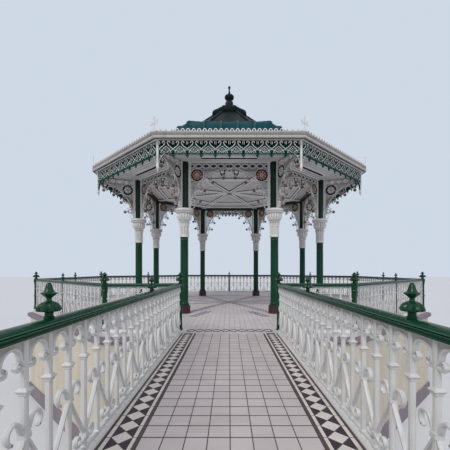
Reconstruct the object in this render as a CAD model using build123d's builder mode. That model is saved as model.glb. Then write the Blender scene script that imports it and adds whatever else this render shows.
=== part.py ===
from build123d import *
from math import atan2, cos, degrees, pi, radians, sin, tan
import os

# Octagonal cast-iron bandstand on a raised tiled platform, reached by a railed bridge.
# Millimetres, +Z up. The origin is on the bandstand's axis at ground level.
# The bridge leads away along -Y. Heights above the deck are given from the deck's surface.

os.makedirs("parts", exist_ok=True)

# Plan of the octagon
sides = 8
turn = 360 / sides
half_turn = turn / 2
half_tan = tan(radians(half_turn))
half_cos = cos(radians(half_turn))
half_sin = sin(radians(half_turn))
first_corner = half_turn
joint_gap = 2.0
column_ring = 4400.0
half_bay = column_ring * half_sin
bay_apothem = column_ring * half_cos

# Podium and platform
deck_height = 3300.0
floor_thickness = 90.0
coping_height = 160.0
base_course_height = 450.0
rail_line = 7744.0
floor_margin = 96.0
coping_overhang = 275.0
wall_inset = 100.0
base_course_projection = 60.0
coping_chamfer = 45.0
floor_apothem = rail_line + floor_margin
coping_apothem = rail_line + coping_overhang
wall_apothem = coping_apothem - wall_inset
base_course_apothem = wall_apothem + base_course_projection
coping_top = deck_height - floor_thickness
coping_bottom = coping_top - coping_height

# Bridge
bridge_line = 1262.0
bridge_first_bay = 3001.0
bridge_bay = 2905.0
bridge_bays = 3
deck_margin = 84.0
girder_depth = 350.0
girder_flange = 180.0
girder_plate = 20.0
girder_line = 1150.0
girder_bearing = 200.0
pocket_clearance = 10.0
cross_beam_depth = 200.0
cross_beam_width = 120.0
abutment_depth = 700.0
abutment_projection = 250.0
abutment_cap_height = 120.0
abutment_cap_projection = 40.0
bridge_end = rail_line + bridge_first_bay + (bridge_bays - 1) * bridge_bay
deck_end = bridge_end + deck_margin
deck_half_width = bridge_line + deck_margin
girder_bottom = coping_top - girder_depth
abutment_half_width = deck_half_width + abutment_projection
abutment_back = deck_end

# Railings
handrail_top = 1270.0
handrail_height = 90.0
handrail_width = 110.0
handrail_chamfer = 28.0
kerb_height = 60.0
kerb_width = 100.0
baluster_width = 42.0
top_rail_height = 40.0
baluster_pitch = 266.0
corner_post_radius = 80.0
slim_post_radius = 42.0
junction_post_radius = 54.0
panel_bottom = deck_height + kerb_height
panel_top = deck_height + handrail_top - handrail_height
panel_height = panel_top - panel_bottom
finial_foot_radius = 50.0
finial_stem_radius = 36.0
finial_stem_height = 50.0
finial_dome_radius = 82.0
finial_dome_height = 60.0
finial_neck_radius = 24.0
finial_neck_height = 145.0
finial_bulb_radius = 50.0
finial_bulb_height = 205.0
finial_tip_radius = 20.0
finial_height = 260.0
finial_sides = 8
great_finial_foot = 62.0
great_finial_stem = 48.0
great_finial_stem_height = 70.0
great_finial_dome = 117.0
great_finial_dome_height = 115.0
great_finial_neck = 30.0
great_finial_neck_height = 182.0
great_finial_bulb = 58.0
great_finial_bulb_height = 232.0
great_finial_height = 283.0

# Columns
plinth_apothem = 215.0
plinth_taper = 15.0
plinth_height = 290.0
base_radius = 185.0
base_torus_height = 70.0
base_top = 470.0
shaft_radius = 143.0
shaft_top = 2830.0
neck_radius = 160.0
neck_ring_height = 40.0
drum_radius = 170.0
drum_top = 3280.0
leaf_radius = 190.0
leaf_top = 3420.0
bell_radius = 295.0
bell_rim_height = 120.0
bell_top = 3740.0
abacus_radius = 335.0
abacus_height = 100.0
abacus_top = 3880.0
capital_sides = 12
post_apothem = 162.0
post_sides = 16

# Fretted castings: two meet over each bay and one reaches out to each eaves corner
casting_thickness = 40.0
casting_top = 5620.0
band_height = 260.0
stile_width = 92.0
arch_radius = 1400.0
arch_segments = 24
arch_centre_height = casting_top - band_height - arch_radius
pendant_length = 270.0
pendant_ball = 58.0
pendant_stem = 34.0
pendants_each = 4
hole_pitch = 273.0
hole_length = 175.0
hole_height = 84.0
holes_each = 5
rosette_offset = 1207.0
rosette_drop = 463.0
rosette_hole = 150.0
rosette_sides = 8
ball_sides = 6
casting_joint = 4.0

# Eaves
eaves_rise = 180.0
drop_post_width = 100.0
drop_post_length = 900.0
drop_collar_height = 20.0
drop_foot_width = 66.0
drop_tip_length = 100.0
drop_tip_width = 34.0
drop_tip_height = 30.0
drop_post_sides = 8
eaves_ring = column_ring + half_bay
eaves_apothem = eaves_ring * half_cos
eaves_half_side = eaves_ring * half_sin
fret_height = 435.0
fret_thickness = 30.0
fret_units = 10
fret_pendant_height = 120.0
fret_pendant_width = 120.0
fret_end_drop = 315.0
fret_end_width = 200.0
fret_opening = 190.0
soffit_thickness = 40.0
soffit_setback = 62.0
cornice_height = 160.0
cornice_projection = 236.0
cornice_ring = eaves_ring + cornice_projection
cornice_width = 420.0
cornice_step = 60.0
cresting_height = 127.0
cresting_base = 42.0
cresting_thickness = 24.0
cresting_loops = 26
cresting_setback = 30.0
cross_height = 527.0
cross_width = 285.0
cross_arm = 50.0
cross_arm_end = 110.0
cross_foot_edge = 160.0

# Ceiling
beam_width = 140.0
ceiling_drop = 120.0
ceiling_thickness = 40.0
ceiling_rib_depth = 90.0
ceiling_rib_width = 110.0
ceiling_ring_apothem = 2350.0
ceiling_hub_radius = 200.0

# Roof: heights are given above the top of the cornice
gutter_width = 190.0
skirt_rise = 330.0
cove_radius = 450.0
dome_ring = 4180.0
shoulder_rise = 1280.0
shoulder_radius = 200.0
brow_ring = 2473.0
brow_rise = 1966.0
sweep_radius = 2500.0
neck_ring = 860.0
neck_rise = 3242.0
neck_seat = 60.0
arc_facets = 2
roof_thickness = 40.0
hip_width = 70.0
hip_height = 40.0
hip_seat = 20.0
cap_ring = 895.0
cap_side_height = 208.0
cap_brow_ring = 700.0
cap_brow_height = 345.0
cap_top_ring = 380.0
cap_height = 490.0
bell_base_radius = 200.0
bell_waist_radius = 95.0
bell_waist_height = 430.0
bulb_radius = 238.0
bulb_height = 600.0
bulb_crown_radius = 150.0
bulb_crown_height = 715.0
spike_foot_radius = 70.0
spike_foot_height = 750.0
spike_radius = 28.0
spike_neck_height = 990.0
knob_radius = 63.0
knob_height = 1090.0
spike_height = 1180.0
roof_height = neck_rise + cap_height + spike_height
top_of_all = deck_height + casting_top + eaves_rise + cornice_height + roof_height


def eight_sided(apothem, bottom, height):
    """A solid octagonal slab with its flats square to the axes."""
    with BuildPart() as slab:
        with BuildSketch(Plane.XY.offset(bottom)):
            RegularPolygon(apothem, sides, major_radius=False, rotation=first_corner)
        extrude(amount=height)
    return slab.part


def stacked(levels, count, rotation=0.0):
    """A faceted turning through regular polygons, given as apothem and height pairs."""
    with BuildPart() as turning:
        for (radius, height), (next_radius, next_height) in zip(levels, levels[1:]):
            rise = next_height - height
            if rise > 0:
                with BuildSketch(Plane.XY.offset(height)):
                    RegularPolygon(radius, count, major_radius=False, rotation=rotation)
                extrude(amount=rise, taper=degrees(atan2(radius - next_radius, rise)))
    return turning.part


def mitred(side):
    """One side of an octagonal ring, cut to its own eighth with half a joint at each end."""
    reach = 2 * rail_line
    with BuildPart() as eighth:
        with BuildSketch():
            with BuildLine():
                apex = joint_gap / 2 / half_sin
                edge = reach * half_tan
                Polyline((apex, 0), (apex + reach, -edge), (apex + reach, edge), close=True)
            make_face()
        extrude(amount=2 * top_of_all)
        add(side, mode=Mode.INTERSECT)
    return eighth.part


def railing_panel(length, end_bar):
    """A cast panel of square balusters under a top rail, centred on its length."""
    windows = round(length / baluster_pitch)
    pitch = (length + baluster_width - 2 * end_bar) / windows
    window_height = panel_height - top_rail_height
    window_middle = panel_bottom + window_height / 2
    with BuildPart() as panel:
        with BuildSketch(Plane.XZ):
            with Locations((0, panel_bottom + panel_height / 2)):
                Rectangle(length, panel_height)
            with Locations((0, window_middle)):
                with GridLocations(pitch, 0, windows, 1):
                    Rectangle(pitch - baluster_width, window_height, mode=Mode.SUBTRACT)
        extrude(amount=baluster_width / 2, both=True)
    return panel.part


def handrail_bar(length):
    """A handrail bar centred on its length along Y: flat below and chamfered above."""
    with BuildPart() as bar:
        with BuildSketch(Plane.XZ) as section:
            with Locations((0, panel_top + handrail_height / 2)):
                Rectangle(handrail_width, handrail_height)
            chamfer(section.vertices().group_by(Axis.Y)[-1], handrail_chamfer)
        extrude(amount=length / 2, both=True)
    return bar.part


def casting(reach):
    """A half casting in the plane of X and Z, from the upper post's face out to this reach."""
    bottom = deck_height + abacus_top
    top = deck_height + casting_top
    band_bottom = top - band_height
    centre = (half_bay, deck_height + arch_centre_height)
    with BuildPart() as half:
        with BuildSketch(Plane.XZ):
            with Locations((post_apothem, bottom)):
                Rectangle(stile_width, top - bottom, align=(Align.MIN, Align.MIN))
            with Locations((post_apothem, centre[1])):
                Rectangle(reach - post_apothem, top - centre[1], align=(Align.MIN, Align.MIN))
            with Locations(centre):
                RegularPolygon(arch_radius, arch_segments, major_radius=False, mode=Mode.SUBTRACT)
            for number in range(pendants_each):
                angle = 180 - (number + 0.5) * 90 / pendants_each
                with Locations(Location((*centre, 0), (0, 0, angle))):
                    with Locations((arch_radius - pendant_length, 0)):
                        Rectangle(
                            pendant_length + pendant_stem,
                            pendant_stem,
                            align=(Align.MIN, Align.CENTER),
                        )
                        RegularPolygon(pendant_ball, ball_sides)
            with Locations((half_bay - hole_pitch * holes_each / 2, band_bottom + band_height / 2)):
                with GridLocations(hole_pitch, 0, holes_each, 1):
                    Rectangle(hole_length, hole_height, mode=Mode.SUBTRACT)
            with Locations((half_bay - rosette_offset, top - rosette_drop)):
                RegularPolygon(rosette_hole, rosette_sides, mode=Mode.SUBTRACT)
            with Locations((post_apothem, bottom)):
                Rectangle(
                    reach - post_apothem,
                    top - bottom,
                    align=(Align.MIN, Align.MIN),
                    mode=Mode.INTERSECT,
                )
        extrude(amount=casting_thickness / 2, both=True)
    return half.part


# Podium: a base course, a plain rendered wall round a masonry core, and a projecting coping
with BuildPart() as podium_base_course:
    add(eight_sided(base_course_apothem, 0, base_course_height))
podium_base_course.part.label = "podium_base_course"
export_step(podium_base_course.part, "parts/podium_base_course.step")

with BuildPart() as podium_wall:
    add(eight_sided(wall_apothem, base_course_height, coping_bottom - base_course_height))
    with Locations((0, -wall_apothem, girder_bottom)):
        with GridLocations(2 * girder_line, 0, 2, 1):
            Box(
                girder_flange + 2 * pocket_clearance,
                2 * girder_bearing,
                coping_bottom - girder_bottom,
                align=(Align.CENTER, Align.CENTER, Align.MIN),
                mode=Mode.SUBTRACT,
            )
podium_wall.part.label = "podium_wall"
export_step(podium_wall.part, "parts/podium_wall.step")

with BuildPart() as podium_coping:
    add(eight_sided(coping_apothem, coping_bottom, coping_height))
    chamfer(podium_coping.faces().sort_by(Axis.Z)[0].edges(), coping_chamfer)
    with Locations((0, -coping_apothem, coping_bottom)):
        with GridLocations(2 * girder_line, 0, 2, 1):
            Box(
                girder_flange + 2 * pocket_clearance,
                2 * (girder_bearing + wall_inset),
                coping_height,
                align=(Align.CENTER, Align.CENTER, Align.MIN),
                mode=Mode.SUBTRACT,
            )
podium_coping.part.label = "podium_coping"
export_step(podium_coping.part, "parts/podium_coping.step")

with BuildPart() as platform_floor:
    add(eight_sided(floor_apothem, coping_top, floor_thickness))
platform_floor.part.label = "platform_floor"
export_step(platform_floor.part, "parts/platform_floor.step")

# Bridge: two plate girders with cross beams, a tiled deck, and a masonry abutment at the far end
girder_length = deck_end - wall_apothem + girder_bearing
with BuildPart() as bridge_girders:
    with BuildSketch(Plane.XZ.offset(wall_apothem - girder_bearing)):
        with Locations((0, girder_bottom + girder_depth / 2)):
            with GridLocations(2 * girder_line, 0, 2, 1):
                Rectangle(girder_flange, girder_depth)
            for way in (-1, 1):
                for side in (-1, 1):
                    with Locations((way * girder_line + side * (girder_flange + girder_plate) / 4, 0)):
                        Rectangle(
                            (girder_flange - girder_plate) / 2,
                            girder_depth - 2 * girder_plate,
                            mode=Mode.SUBTRACT,
                        )
    extrude(amount=girder_length)
bridge_girders.part.label = "bridge_girders"
export_step(bridge_girders.part, "parts/bridge_girders.step")

bridge_post_places = [bridge_end - number * bridge_bay for number in range(bridge_bays)]
with BuildPart() as bridge_cross_beams:
    for place in [wall_apothem + girder_bearing, *bridge_post_places[1:]]:
        with Locations((0, -place, coping_top - girder_plate)):
            Box(
                2 * girder_line - girder_plate,
                cross_beam_width,
                cross_beam_depth,
                align=(Align.CENTER, Align.CENTER, Align.MAX),
            )
bridge_cross_beams.part.label = "bridge_cross_beams"
export_step(bridge_cross_beams.part, "parts/bridge_cross_beams.step")

with BuildPart() as bridge_deck:
    with Locations((0, -floor_apothem, coping_top)):
        Box(
            2 * deck_half_width,
            deck_end - floor_apothem,
            floor_thickness,
            align=(Align.CENTER, Align.MAX, Align.MIN),
        )
bridge_deck.part.label = "bridge_deck"
export_step(bridge_deck.part, "parts/bridge_deck.step")

with BuildPart() as bridge_abutment:
    with Locations((0, -abutment_back, 0)):
        Box(
            2 * abutment_half_width,
            abutment_depth,
            girder_bottom - abutment_cap_height,
            align=(Align.CENTER, Align.MIN, Align.MIN),
        )
        Box(
            2 * (abutment_half_width + abutment_cap_projection),
            abutment_depth + abutment_cap_projection,
            base_course_height,
            align=(Align.CENTER, Align.MIN, Align.MIN),
        )
    with Locations((0, -abutment_back, girder_bottom - abutment_cap_height)):
        Box(
            2 * (abutment_half_width + abutment_cap_projection),
            abutment_depth + abutment_cap_projection,
            abutment_cap_height,
            align=(Align.CENTER, Align.MIN, Align.MIN),
        )
bridge_abutment.part.label = "bridge_abutment"
export_step(bridge_abutment.part, "parts/bridge_abutment.step")

# Railing posts stand on the kerb, under the handrail
rail_ring = rail_line / half_cos
rail_half_side = rail_line * half_tan
with BuildPart() as kerb_side:
    with BuildSketch(Plane.XZ):
        with Locations((rail_line, deck_height + kerb_height / 2)):
            Rectangle(kerb_width, kerb_height)
    extrude(amount=rail_ring, both=True)
kerb_eighth = mitred(kerb_side.part)
with BuildPart() as front_gap:
    with Locations((0, -rail_line, deck_height)):
        Box(
            2 * bridge_line - handrail_width,
            2 * handrail_width,
            2 * handrail_top,
            align=(Align.CENTER, Align.CENTER, Align.MIN),
        )
with BuildPart() as platform_kerbs:
    with PolarLocations(0, sides):
        add(kerb_eighth)
    add(front_gap.part, mode=Mode.SUBTRACT)
platform_kerbs.part.label = "platform_kerbs"
export_step(platform_kerbs.part, "parts/platform_kerbs.step")

bridge_rail_start = rail_line + kerb_width / 2 + joint_gap
with BuildPart() as bridge_kerbs:
    with Locations((0, -bridge_rail_start, deck_height)):
        with GridLocations(2 * bridge_line, 0, 2, 1):
            Box(
                kerb_width,
                deck_end - bridge_rail_start,
                kerb_height,
                align=(Align.CENTER, Align.MAX, Align.MIN),
            )
bridge_kerbs.part.label = "bridge_kerbs"
export_step(bridge_kerbs.part, "parts/bridge_kerbs.step")

with BuildPart() as platform_posts:
    with BuildSketch(Plane.XY.offset(panel_bottom)):
        with PolarLocations(rail_ring, sides, start_angle=first_corner):
            RegularPolygon(corner_post_radius, sides, major_radius=False)
        with PolarLocations(rail_line, sides - 1, start_angle=-turn, angular_range=360 - turn):
            RegularPolygon(slim_post_radius, sides, major_radius=False, rotation=half_turn)
        with Locations((0, -rail_line)):
            with GridLocations(2 * bridge_line, 0, 2, 1):
                RegularPolygon(junction_post_radius, sides, major_radius=False, rotation=half_turn)
    extrude(amount=panel_height)
platform_posts.part.label = "platform_posts"
export_step(platform_posts.part, "parts/platform_posts.step")

with BuildPart() as bridge_posts:
    with BuildSketch(Plane.XY.offset(panel_bottom)):
        for place in bridge_post_places:
            with Locations((0, -place)):
                with GridLocations(2 * bridge_line, 0, 2, 1):
                    Rectangle(baluster_width, baluster_width)
    extrude(amount=panel_height)
bridge_posts.part.label = "bridge_posts"
export_step(bridge_posts.part, "parts/bridge_posts.step")

# Cast railing panels fill each space between posts
side_panel_length = rail_half_side - corner_post_radius - slim_post_radius
side_panel_middle = slim_post_radius + side_panel_length / 2
side_panel = railing_panel(side_panel_length, baluster_width)
front_panel_length = rail_half_side - bridge_line - corner_post_radius - junction_post_radius
front_panel = railing_panel(front_panel_length, baluster_width)
front_panel_middle = bridge_line + junction_post_radius + front_panel_length / 2
with BuildPart() as platform_railings:
    with PolarLocations(rail_line, sides - 1, start_angle=-turn, angular_range=360 - turn):
        for way in (-1, 1):
            with Locations(Location((0, way * side_panel_middle, 0), (0, 0, 90))):
                add(side_panel)
    for way in (-1, 1):
        with Locations((way * front_panel_middle, -rail_line, 0)):
            add(front_panel)
platform_railings.part.label = "platform_railings"
export_step(platform_railings.part, "parts/platform_railings.step")

first_bay_start = bridge_post_places[-1] + baluster_width / 2
bay_starts = [first_bay_start + number * bridge_bay for number in range(bridge_bays - 1)]
bridge_panels = [(start, bridge_bay - baluster_width) for start in bay_starts]
first_panel_length = bridge_first_bay - junction_post_radius - baluster_width / 2
bridge_panels.append((rail_line + junction_post_radius, first_panel_length))
with BuildPart() as bridge_railings:
    for start, length in bridge_panels:
        panel = railing_panel(length, 0)
        for way in (-1, 1):
            with Locations(Location((way * bridge_line, -start - length / 2, 0), (0, 0, 90))):
                add(panel)
bridge_railings.part.label = "bridge_railings"
export_step(bridge_railings.part, "parts/bridge_railings.step")

# Moulded handrails
with BuildPart() as handrail_side:
    with Locations((rail_line, 0, 0)):
        add(handrail_bar(2 * rail_ring))
handrail_eighth = mitred(handrail_side.part)
with BuildPart() as platform_handrails:
    with PolarLocations(0, sides):
        add(handrail_eighth)
    add(front_gap.part, mode=Mode.SUBTRACT)
platform_handrails.part.label = "platform_handrails"
export_step(platform_handrails.part, "parts/platform_handrails.step")

bridge_handrail_start = rail_line + handrail_width / 2 + joint_gap
with BuildPart() as bridge_handrails:
    with Locations((0, -(bridge_handrail_start + deck_end) / 2, 0)):
        with GridLocations(2 * bridge_line, 0, 2, 1):
            add(handrail_bar(deck_end - bridge_handrail_start))
bridge_handrails.part.label = "bridge_handrails"
export_step(bridge_handrails.part, "parts/bridge_handrails.step")

# Lobed finials on the handrail over each post, great ones at the corners and where the bridge joins
finial = stacked(
    [
        (finial_foot_radius, 0),
        (finial_stem_radius, finial_stem_height),
        (finial_dome_radius, finial_dome_height),
        (finial_neck_radius, finial_neck_height),
        (finial_bulb_radius, finial_bulb_height),
        (finial_tip_radius, finial_height),
    ],
    finial_sides,
)
great_finial = stacked(
    [
        (great_finial_foot, 0),
        (great_finial_stem, great_finial_stem_height),
        (great_finial_dome, great_finial_dome_height),
        (great_finial_neck, great_finial_neck_height),
        (great_finial_bulb, great_finial_bulb_height),
        (finial_tip_radius, great_finial_height),
    ],
    finial_sides,
)
with BuildPart() as platform_finials:
    with Locations((0, 0, deck_height + handrail_top)):
        with PolarLocations(rail_ring, sides, start_angle=first_corner):
            add(great_finial)
        with PolarLocations(rail_line, sides - 1, start_angle=-turn, angular_range=360 - turn):
            add(finial)
        with Locations((0, -rail_line, 0)):
            with GridLocations(2 * bridge_line, 0, 2, 1):
                add(great_finial)
platform_finials.part.label = "platform_finials"
export_step(platform_finials.part, "parts/platform_finials.step")

with BuildPart() as bridge_finials:
    for place in bridge_post_places:
        with Locations((0, -place, deck_height + handrail_top)):
            with GridLocations(2 * bridge_line, 0, 2, 1):
                add(finial)
bridge_finials.part.label = "bridge_finials"
export_step(bridge_finials.part, "parts/bridge_finials.step")

# Columns: plinth, moulded base, round shaft, leafed capital and the slim post above it
plinth_levels = [(plinth_apothem, 0), (plinth_apothem - plinth_taper, plinth_height)]
plinth = stacked(plinth_levels, sides, first_corner)
with BuildPart() as column_plinths:
    with Locations((0, 0, deck_height)):
        with PolarLocations(column_ring, sides, start_angle=first_corner):
            add(plinth)
column_plinths.part.label = "column_plinths"
export_step(column_plinths.part, "parts/column_plinths.step")

column_base = stacked(
    [
        (base_radius, 0),
        (base_radius, base_torus_height),
        (neck_radius, base_torus_height),
        (shaft_radius, base_top - plinth_height),
    ],
    capital_sides,
)
with BuildPart() as column_bases:
    with Locations((0, 0, deck_height + plinth_height)):
        with PolarLocations(column_ring, sides, start_angle=first_corner):
            add(column_base)
column_bases.part.label = "column_bases"
export_step(column_bases.part, "parts/column_bases.step")

with BuildPart() as column_shafts:
    with BuildSketch(Plane.XY.offset(deck_height + base_top)):
        with PolarLocations(column_ring, sides, start_angle=first_corner):
            RegularPolygon(shaft_radius, post_sides, major_radius=False)
    extrude(amount=shaft_top - base_top)
column_shafts.part.label = "column_shafts"
export_step(column_shafts.part, "parts/column_shafts.step")

capital = stacked(
    [
        (neck_radius, shaft_top),
        (drum_radius, shaft_top + neck_ring_height),
        (drum_radius, drum_top),
        (leaf_radius, drum_top),
        (leaf_radius, leaf_top),
        (bell_radius, bell_top - bell_rim_height),
        (bell_radius, bell_top),
        (abacus_radius, abacus_top - abacus_height),
        (abacus_radius, abacus_top),
    ],
    capital_sides,
)
with BuildPart() as column_capitals:
    with Locations((0, 0, deck_height)):
        with PolarLocations(column_ring, sides, start_angle=first_corner):
            add(capital)
column_capitals.part.label = "column_capitals"
export_step(column_capitals.part, "parts/column_capitals.step")

with BuildPart() as upper_posts:
    with BuildSketch(Plane.XY.offset(deck_height + abacus_top)):
        with PolarLocations(column_ring, sides, start_angle=first_corner):
            RegularPolygon(post_apothem, post_sides, major_radius=False, rotation=180 / post_sides)
    extrude(amount=casting_top - abacus_top)
upper_posts.part.label = "upper_posts"
export_step(upper_posts.part, "parts/upper_posts.step")

# Fretted spandrels: a left and a right casting meet at the crown of every bay
bay_casting = casting(half_bay - casting_joint / 2)
for number in range(sides):
    with BuildPart() as spandrel:
        with Locations(Location((0, 0, 0), (0, 0, number * turn))):
            for way in (0, 180):
                with Locations(Location((half_bay * (1 if way else -1), -bay_apothem, 0), (0, 0, way))):
                    add(bay_casting)
    spandrel.part.label = f"spandrel_{number + 1}"
    export_step(spandrel.part, f"parts/spandrel_{number + 1}.step")

eaves_casting = casting(half_bay - drop_post_width / 2)
with BuildPart() as eaves_brackets:
    with PolarLocations(column_ring, sides, start_angle=first_corner):
        add(eaves_casting)
eaves_brackets.part.label = "eaves_brackets"
export_step(eaves_brackets.part, "parts/eaves_brackets.step")

# Drop posts hang at the eaves corners, with a pierced fret between each pair
cornice_bottom = deck_height + casting_top + eaves_rise
drop_post = stacked(
    [
        (drop_tip_width / 2, -drop_post_length - drop_tip_length),
        (drop_foot_width / 2, -drop_post_length - drop_tip_length + drop_tip_height),
        (drop_foot_width / 2, -drop_post_length),
        (drop_post_width / 2, -drop_post_length + drop_collar_height),
        (drop_post_width / 2, 0),
    ],
    drop_post_sides,
    180 / drop_post_sides,
)
with BuildPart() as drop_posts:
    with Locations((0, 0, cornice_bottom)):
        with PolarLocations(eaves_ring, sides, start_angle=first_corner):
            add(drop_post)
drop_posts.part.label = "drop_posts"
export_step(drop_posts.part, "parts/drop_posts.step")

fret_half_length = eaves_half_side - drop_post_width / 2 / cos(pi / drop_post_sides)
fret_unit = 2 * eaves_half_side / fret_units
fret_bottom = cornice_bottom - fret_height
fret_leaf_angle = degrees(atan2(fret_pendant_height, fret_pendant_width / 2))
with BuildPart() as fret_panel:
    with BuildSketch(Plane.XZ):
        with Locations((0, fret_bottom)):
            Rectangle(2 * fret_half_length, fret_height, align=(Align.CENTER, Align.MIN))
        for way in (-1, 1):
            with BuildLine():
                Polyline(
                    (way * fret_half_length, fret_bottom),
                    (way * fret_half_length, fret_bottom - fret_end_drop),
                    (way * (fret_half_length - fret_end_width / 2), fret_bottom - fret_end_drop / 3),
                    (way * (fret_half_length - fret_end_width), fret_bottom),
                    close=True,
                )
            make_face()
        with Locations((0, fret_bottom)):
            with GridLocations(fret_unit, 0, fret_units - 1, 1):
                Triangle(
                    a=fret_pendant_width,
                    B=fret_leaf_angle,
                    C=fret_leaf_angle,
                    align=(Align.CENTER, Align.MIN),
                    rotation=180,
                )
        with Locations((0, fret_bottom + fret_height / 2)):
            with GridLocations(fret_unit, 0, fret_units, 1):
                RegularPolygon(fret_opening, 4, mode=Mode.SUBTRACT)
    extrude(amount=fret_thickness / 2, both=True)
with BuildPart() as eaves_frets:
    with PolarLocations(eaves_apothem, sides):
        with Locations(Location((0, 0, 0), (0, 0, 90))):
            add(fret_panel.part)
eaves_frets.part.label = "eaves_frets"
export_step(eaves_frets.part, "parts/eaves_frets.step")

# Soffit boards over the spandrels and brackets, and the ring beam behind the spandrels
soffit_inner = bay_apothem - casting_thickness / 2 - beam_width
soffit_outer = eaves_apothem - soffit_setback
with BuildPart() as soffit_side:
    with BuildSketch(Plane.XZ):
        with Locations(((soffit_inner + soffit_outer) / 2, deck_height + casting_top + soffit_thickness / 2)):
            Rectangle(soffit_outer - soffit_inner, soffit_thickness)
    extrude(amount=eaves_ring, both=True)
soffit_eighth = mitred(soffit_side.part)
with BuildPart() as soffit:
    with PolarLocations(0, sides):
        add(soffit_eighth)
soffit.part.label = "soffit"
export_step(soffit.part, "parts/soffit.step")

with BuildPart() as ring_beam:
    with PolarLocations(bay_apothem - casting_thickness / 2, sides):
        with Locations((0, 0, deck_height + casting_top)):
            Box(
                beam_width,
                2 * (half_bay - post_apothem),
                band_height,
                align=(Align.MAX, Align.CENTER, Align.MAX),
            )
ring_beam.part.label = "ring_beam"
export_step(ring_beam.part, "parts/ring_beam.step")

# Boarded ceiling inside the ring beam, with radial ribs, an octagonal moulding and a hub
ceiling_apothem = bay_apothem - casting_thickness / 2 - beam_width
ceiling_bottom = deck_height + casting_top - ceiling_drop
with BuildPart() as ceiling:
    add(eight_sided(ceiling_apothem, ceiling_bottom, ceiling_thickness))
ceiling.part.label = "ceiling"
export_step(ceiling.part, "parts/ceiling.step")

with BuildPart() as rib_bars:
    with BuildSketch(Plane.XY.offset(ceiling_bottom)):
        with PolarLocations(ceiling_hub_radius, sides, start_angle=first_corner):
            rib_length = ceiling_apothem - ceiling_hub_radius
            Rectangle(rib_length, ceiling_rib_width, align=(Align.MIN, Align.CENTER))
    extrude(amount=-ceiling_rib_depth)
with BuildPart() as rib_spaces:
    with BuildSketch(Plane.XY.offset(ceiling_bottom)):
        with PolarLocations(0, sides, start_angle=first_corner):
            Rectangle(column_ring, ceiling_rib_width + 2 * joint_gap, align=(Align.MIN, Align.CENTER))
    extrude(amount=-ceiling_rib_depth)
with BuildPart() as ring_side:
    with BuildSketch(Plane.XZ):
        with Locations((ceiling_ring_apothem, ceiling_bottom - ceiling_rib_depth / 2)):
            Rectangle(ceiling_rib_width, ceiling_rib_depth)
    extrude(amount=ceiling_ring_apothem, both=True)
ring_eighth = mitred(ring_side.part)
with BuildPart() as ceiling_ribs:
    add(rib_bars.part)
    with PolarLocations(0, sides):
        add(ring_eighth)
    add(rib_spaces.part, mode=Mode.SUBTRACT)
    add(rib_bars.part)
    with BuildSketch(Plane.XY.offset(ceiling_bottom)):
        RegularPolygon(ceiling_hub_radius * half_cos - joint_gap, sides, major_radius=False)
    extrude(amount=-ceiling_rib_depth)
ceiling_ribs.part.label = "ceiling_ribs"
export_step(ceiling_ribs.part, "parts/ceiling_ribs.step")

# Stepped cornice and gutter on top of the frets, with the pierced cresting above
cornice_apothem = cornice_ring * half_cos
with BuildPart() as cornice_side:
    with BuildSketch(Plane.XZ):
        with BuildLine():
            Polyline(
                (cornice_apothem - cornice_width, cornice_bottom),
                (cornice_apothem - 2 * cornice_step, cornice_bottom),
                (cornice_apothem - 2 * cornice_step, cornice_bottom + cornice_height / 3),
                (cornice_apothem - cornice_step, cornice_bottom + cornice_height / 3),
                (cornice_apothem, cornice_bottom + 2 * cornice_height / 3),
                (cornice_apothem, cornice_bottom + cornice_height),
                (cornice_apothem - cornice_width, cornice_bottom + cornice_height),
                close=True,
            )
        make_face()
    extrude(amount=cornice_ring, both=True)
cornice_eighth = mitred(cornice_side.part)
with BuildPart() as cornice:
    with PolarLocations(0, sides):
        add(cornice_eighth)
cornice.part.label = "cornice"
export_step(cornice.part, "parts/cornice.step")

roof_bottom = cornice_bottom + cornice_height
cresting_half = cornice_ring * half_sin - cross_arm_end - cresting_setback
cresting_step = cresting_half / cresting_loops
crest_rises = [cresting_base, cresting_height]
crests = [
    (number * cresting_step - cresting_half, roof_bottom + crest_rises[number % 2])
    for number in range(2 * cresting_loops + 1)
]
with BuildPart() as cresting_side:
    with BuildSketch(Plane.YZ.offset(cornice_apothem - cresting_setback)):
        with BuildLine():
            Polyline((-cresting_half, roof_bottom), *crests, (cresting_half, roof_bottom), close=True)
        make_face()
    extrude(amount=-cresting_thickness)
with BuildPart() as cresting:
    with PolarLocations(0, sides):
        add(cresting_side.part)
cresting.part.label = "cresting"
export_step(cresting.part, "parts/cresting.step")

# A cross with flared arms and a flared foot over each corner
cross_centre = roof_bottom + cross_height - cross_width / 2
with BuildPart() as corner_cross:
    with BuildSketch(Plane.YZ.offset(cornice_ring - cresting_setback)):
        with Locations((0, roof_bottom)):
            Rectangle(cross_arm, cross_height, align=(Align.CENTER, Align.MIN))
            Triangle(
                a=2 * cross_arm_end,
                b=cross_foot_edge,
                c=cross_foot_edge,
                align=(Align.CENTER, Align.MIN),
            )
        for way in (-1, 1):
            with BuildLine():
                Polyline(
                    (0, cross_centre - cross_arm / 2),
                    (way * cross_width / 2, cross_centre - cross_arm_end / 2),
                    (way * cross_width / 2, cross_centre + cross_arm_end / 2),
                    (0, cross_centre + cross_arm / 2),
                    close=True,
                )
            make_face()
    extrude(amount=-cresting_thickness)
with BuildPart() as corner_crosses:
    with PolarLocations(0, sides, start_angle=first_corner):
        add(corner_cross.part)
corner_crosses.part.label = "corner_crosses"
export_step(corner_crosses.part, "parts/corner_crosses.step")

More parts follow.
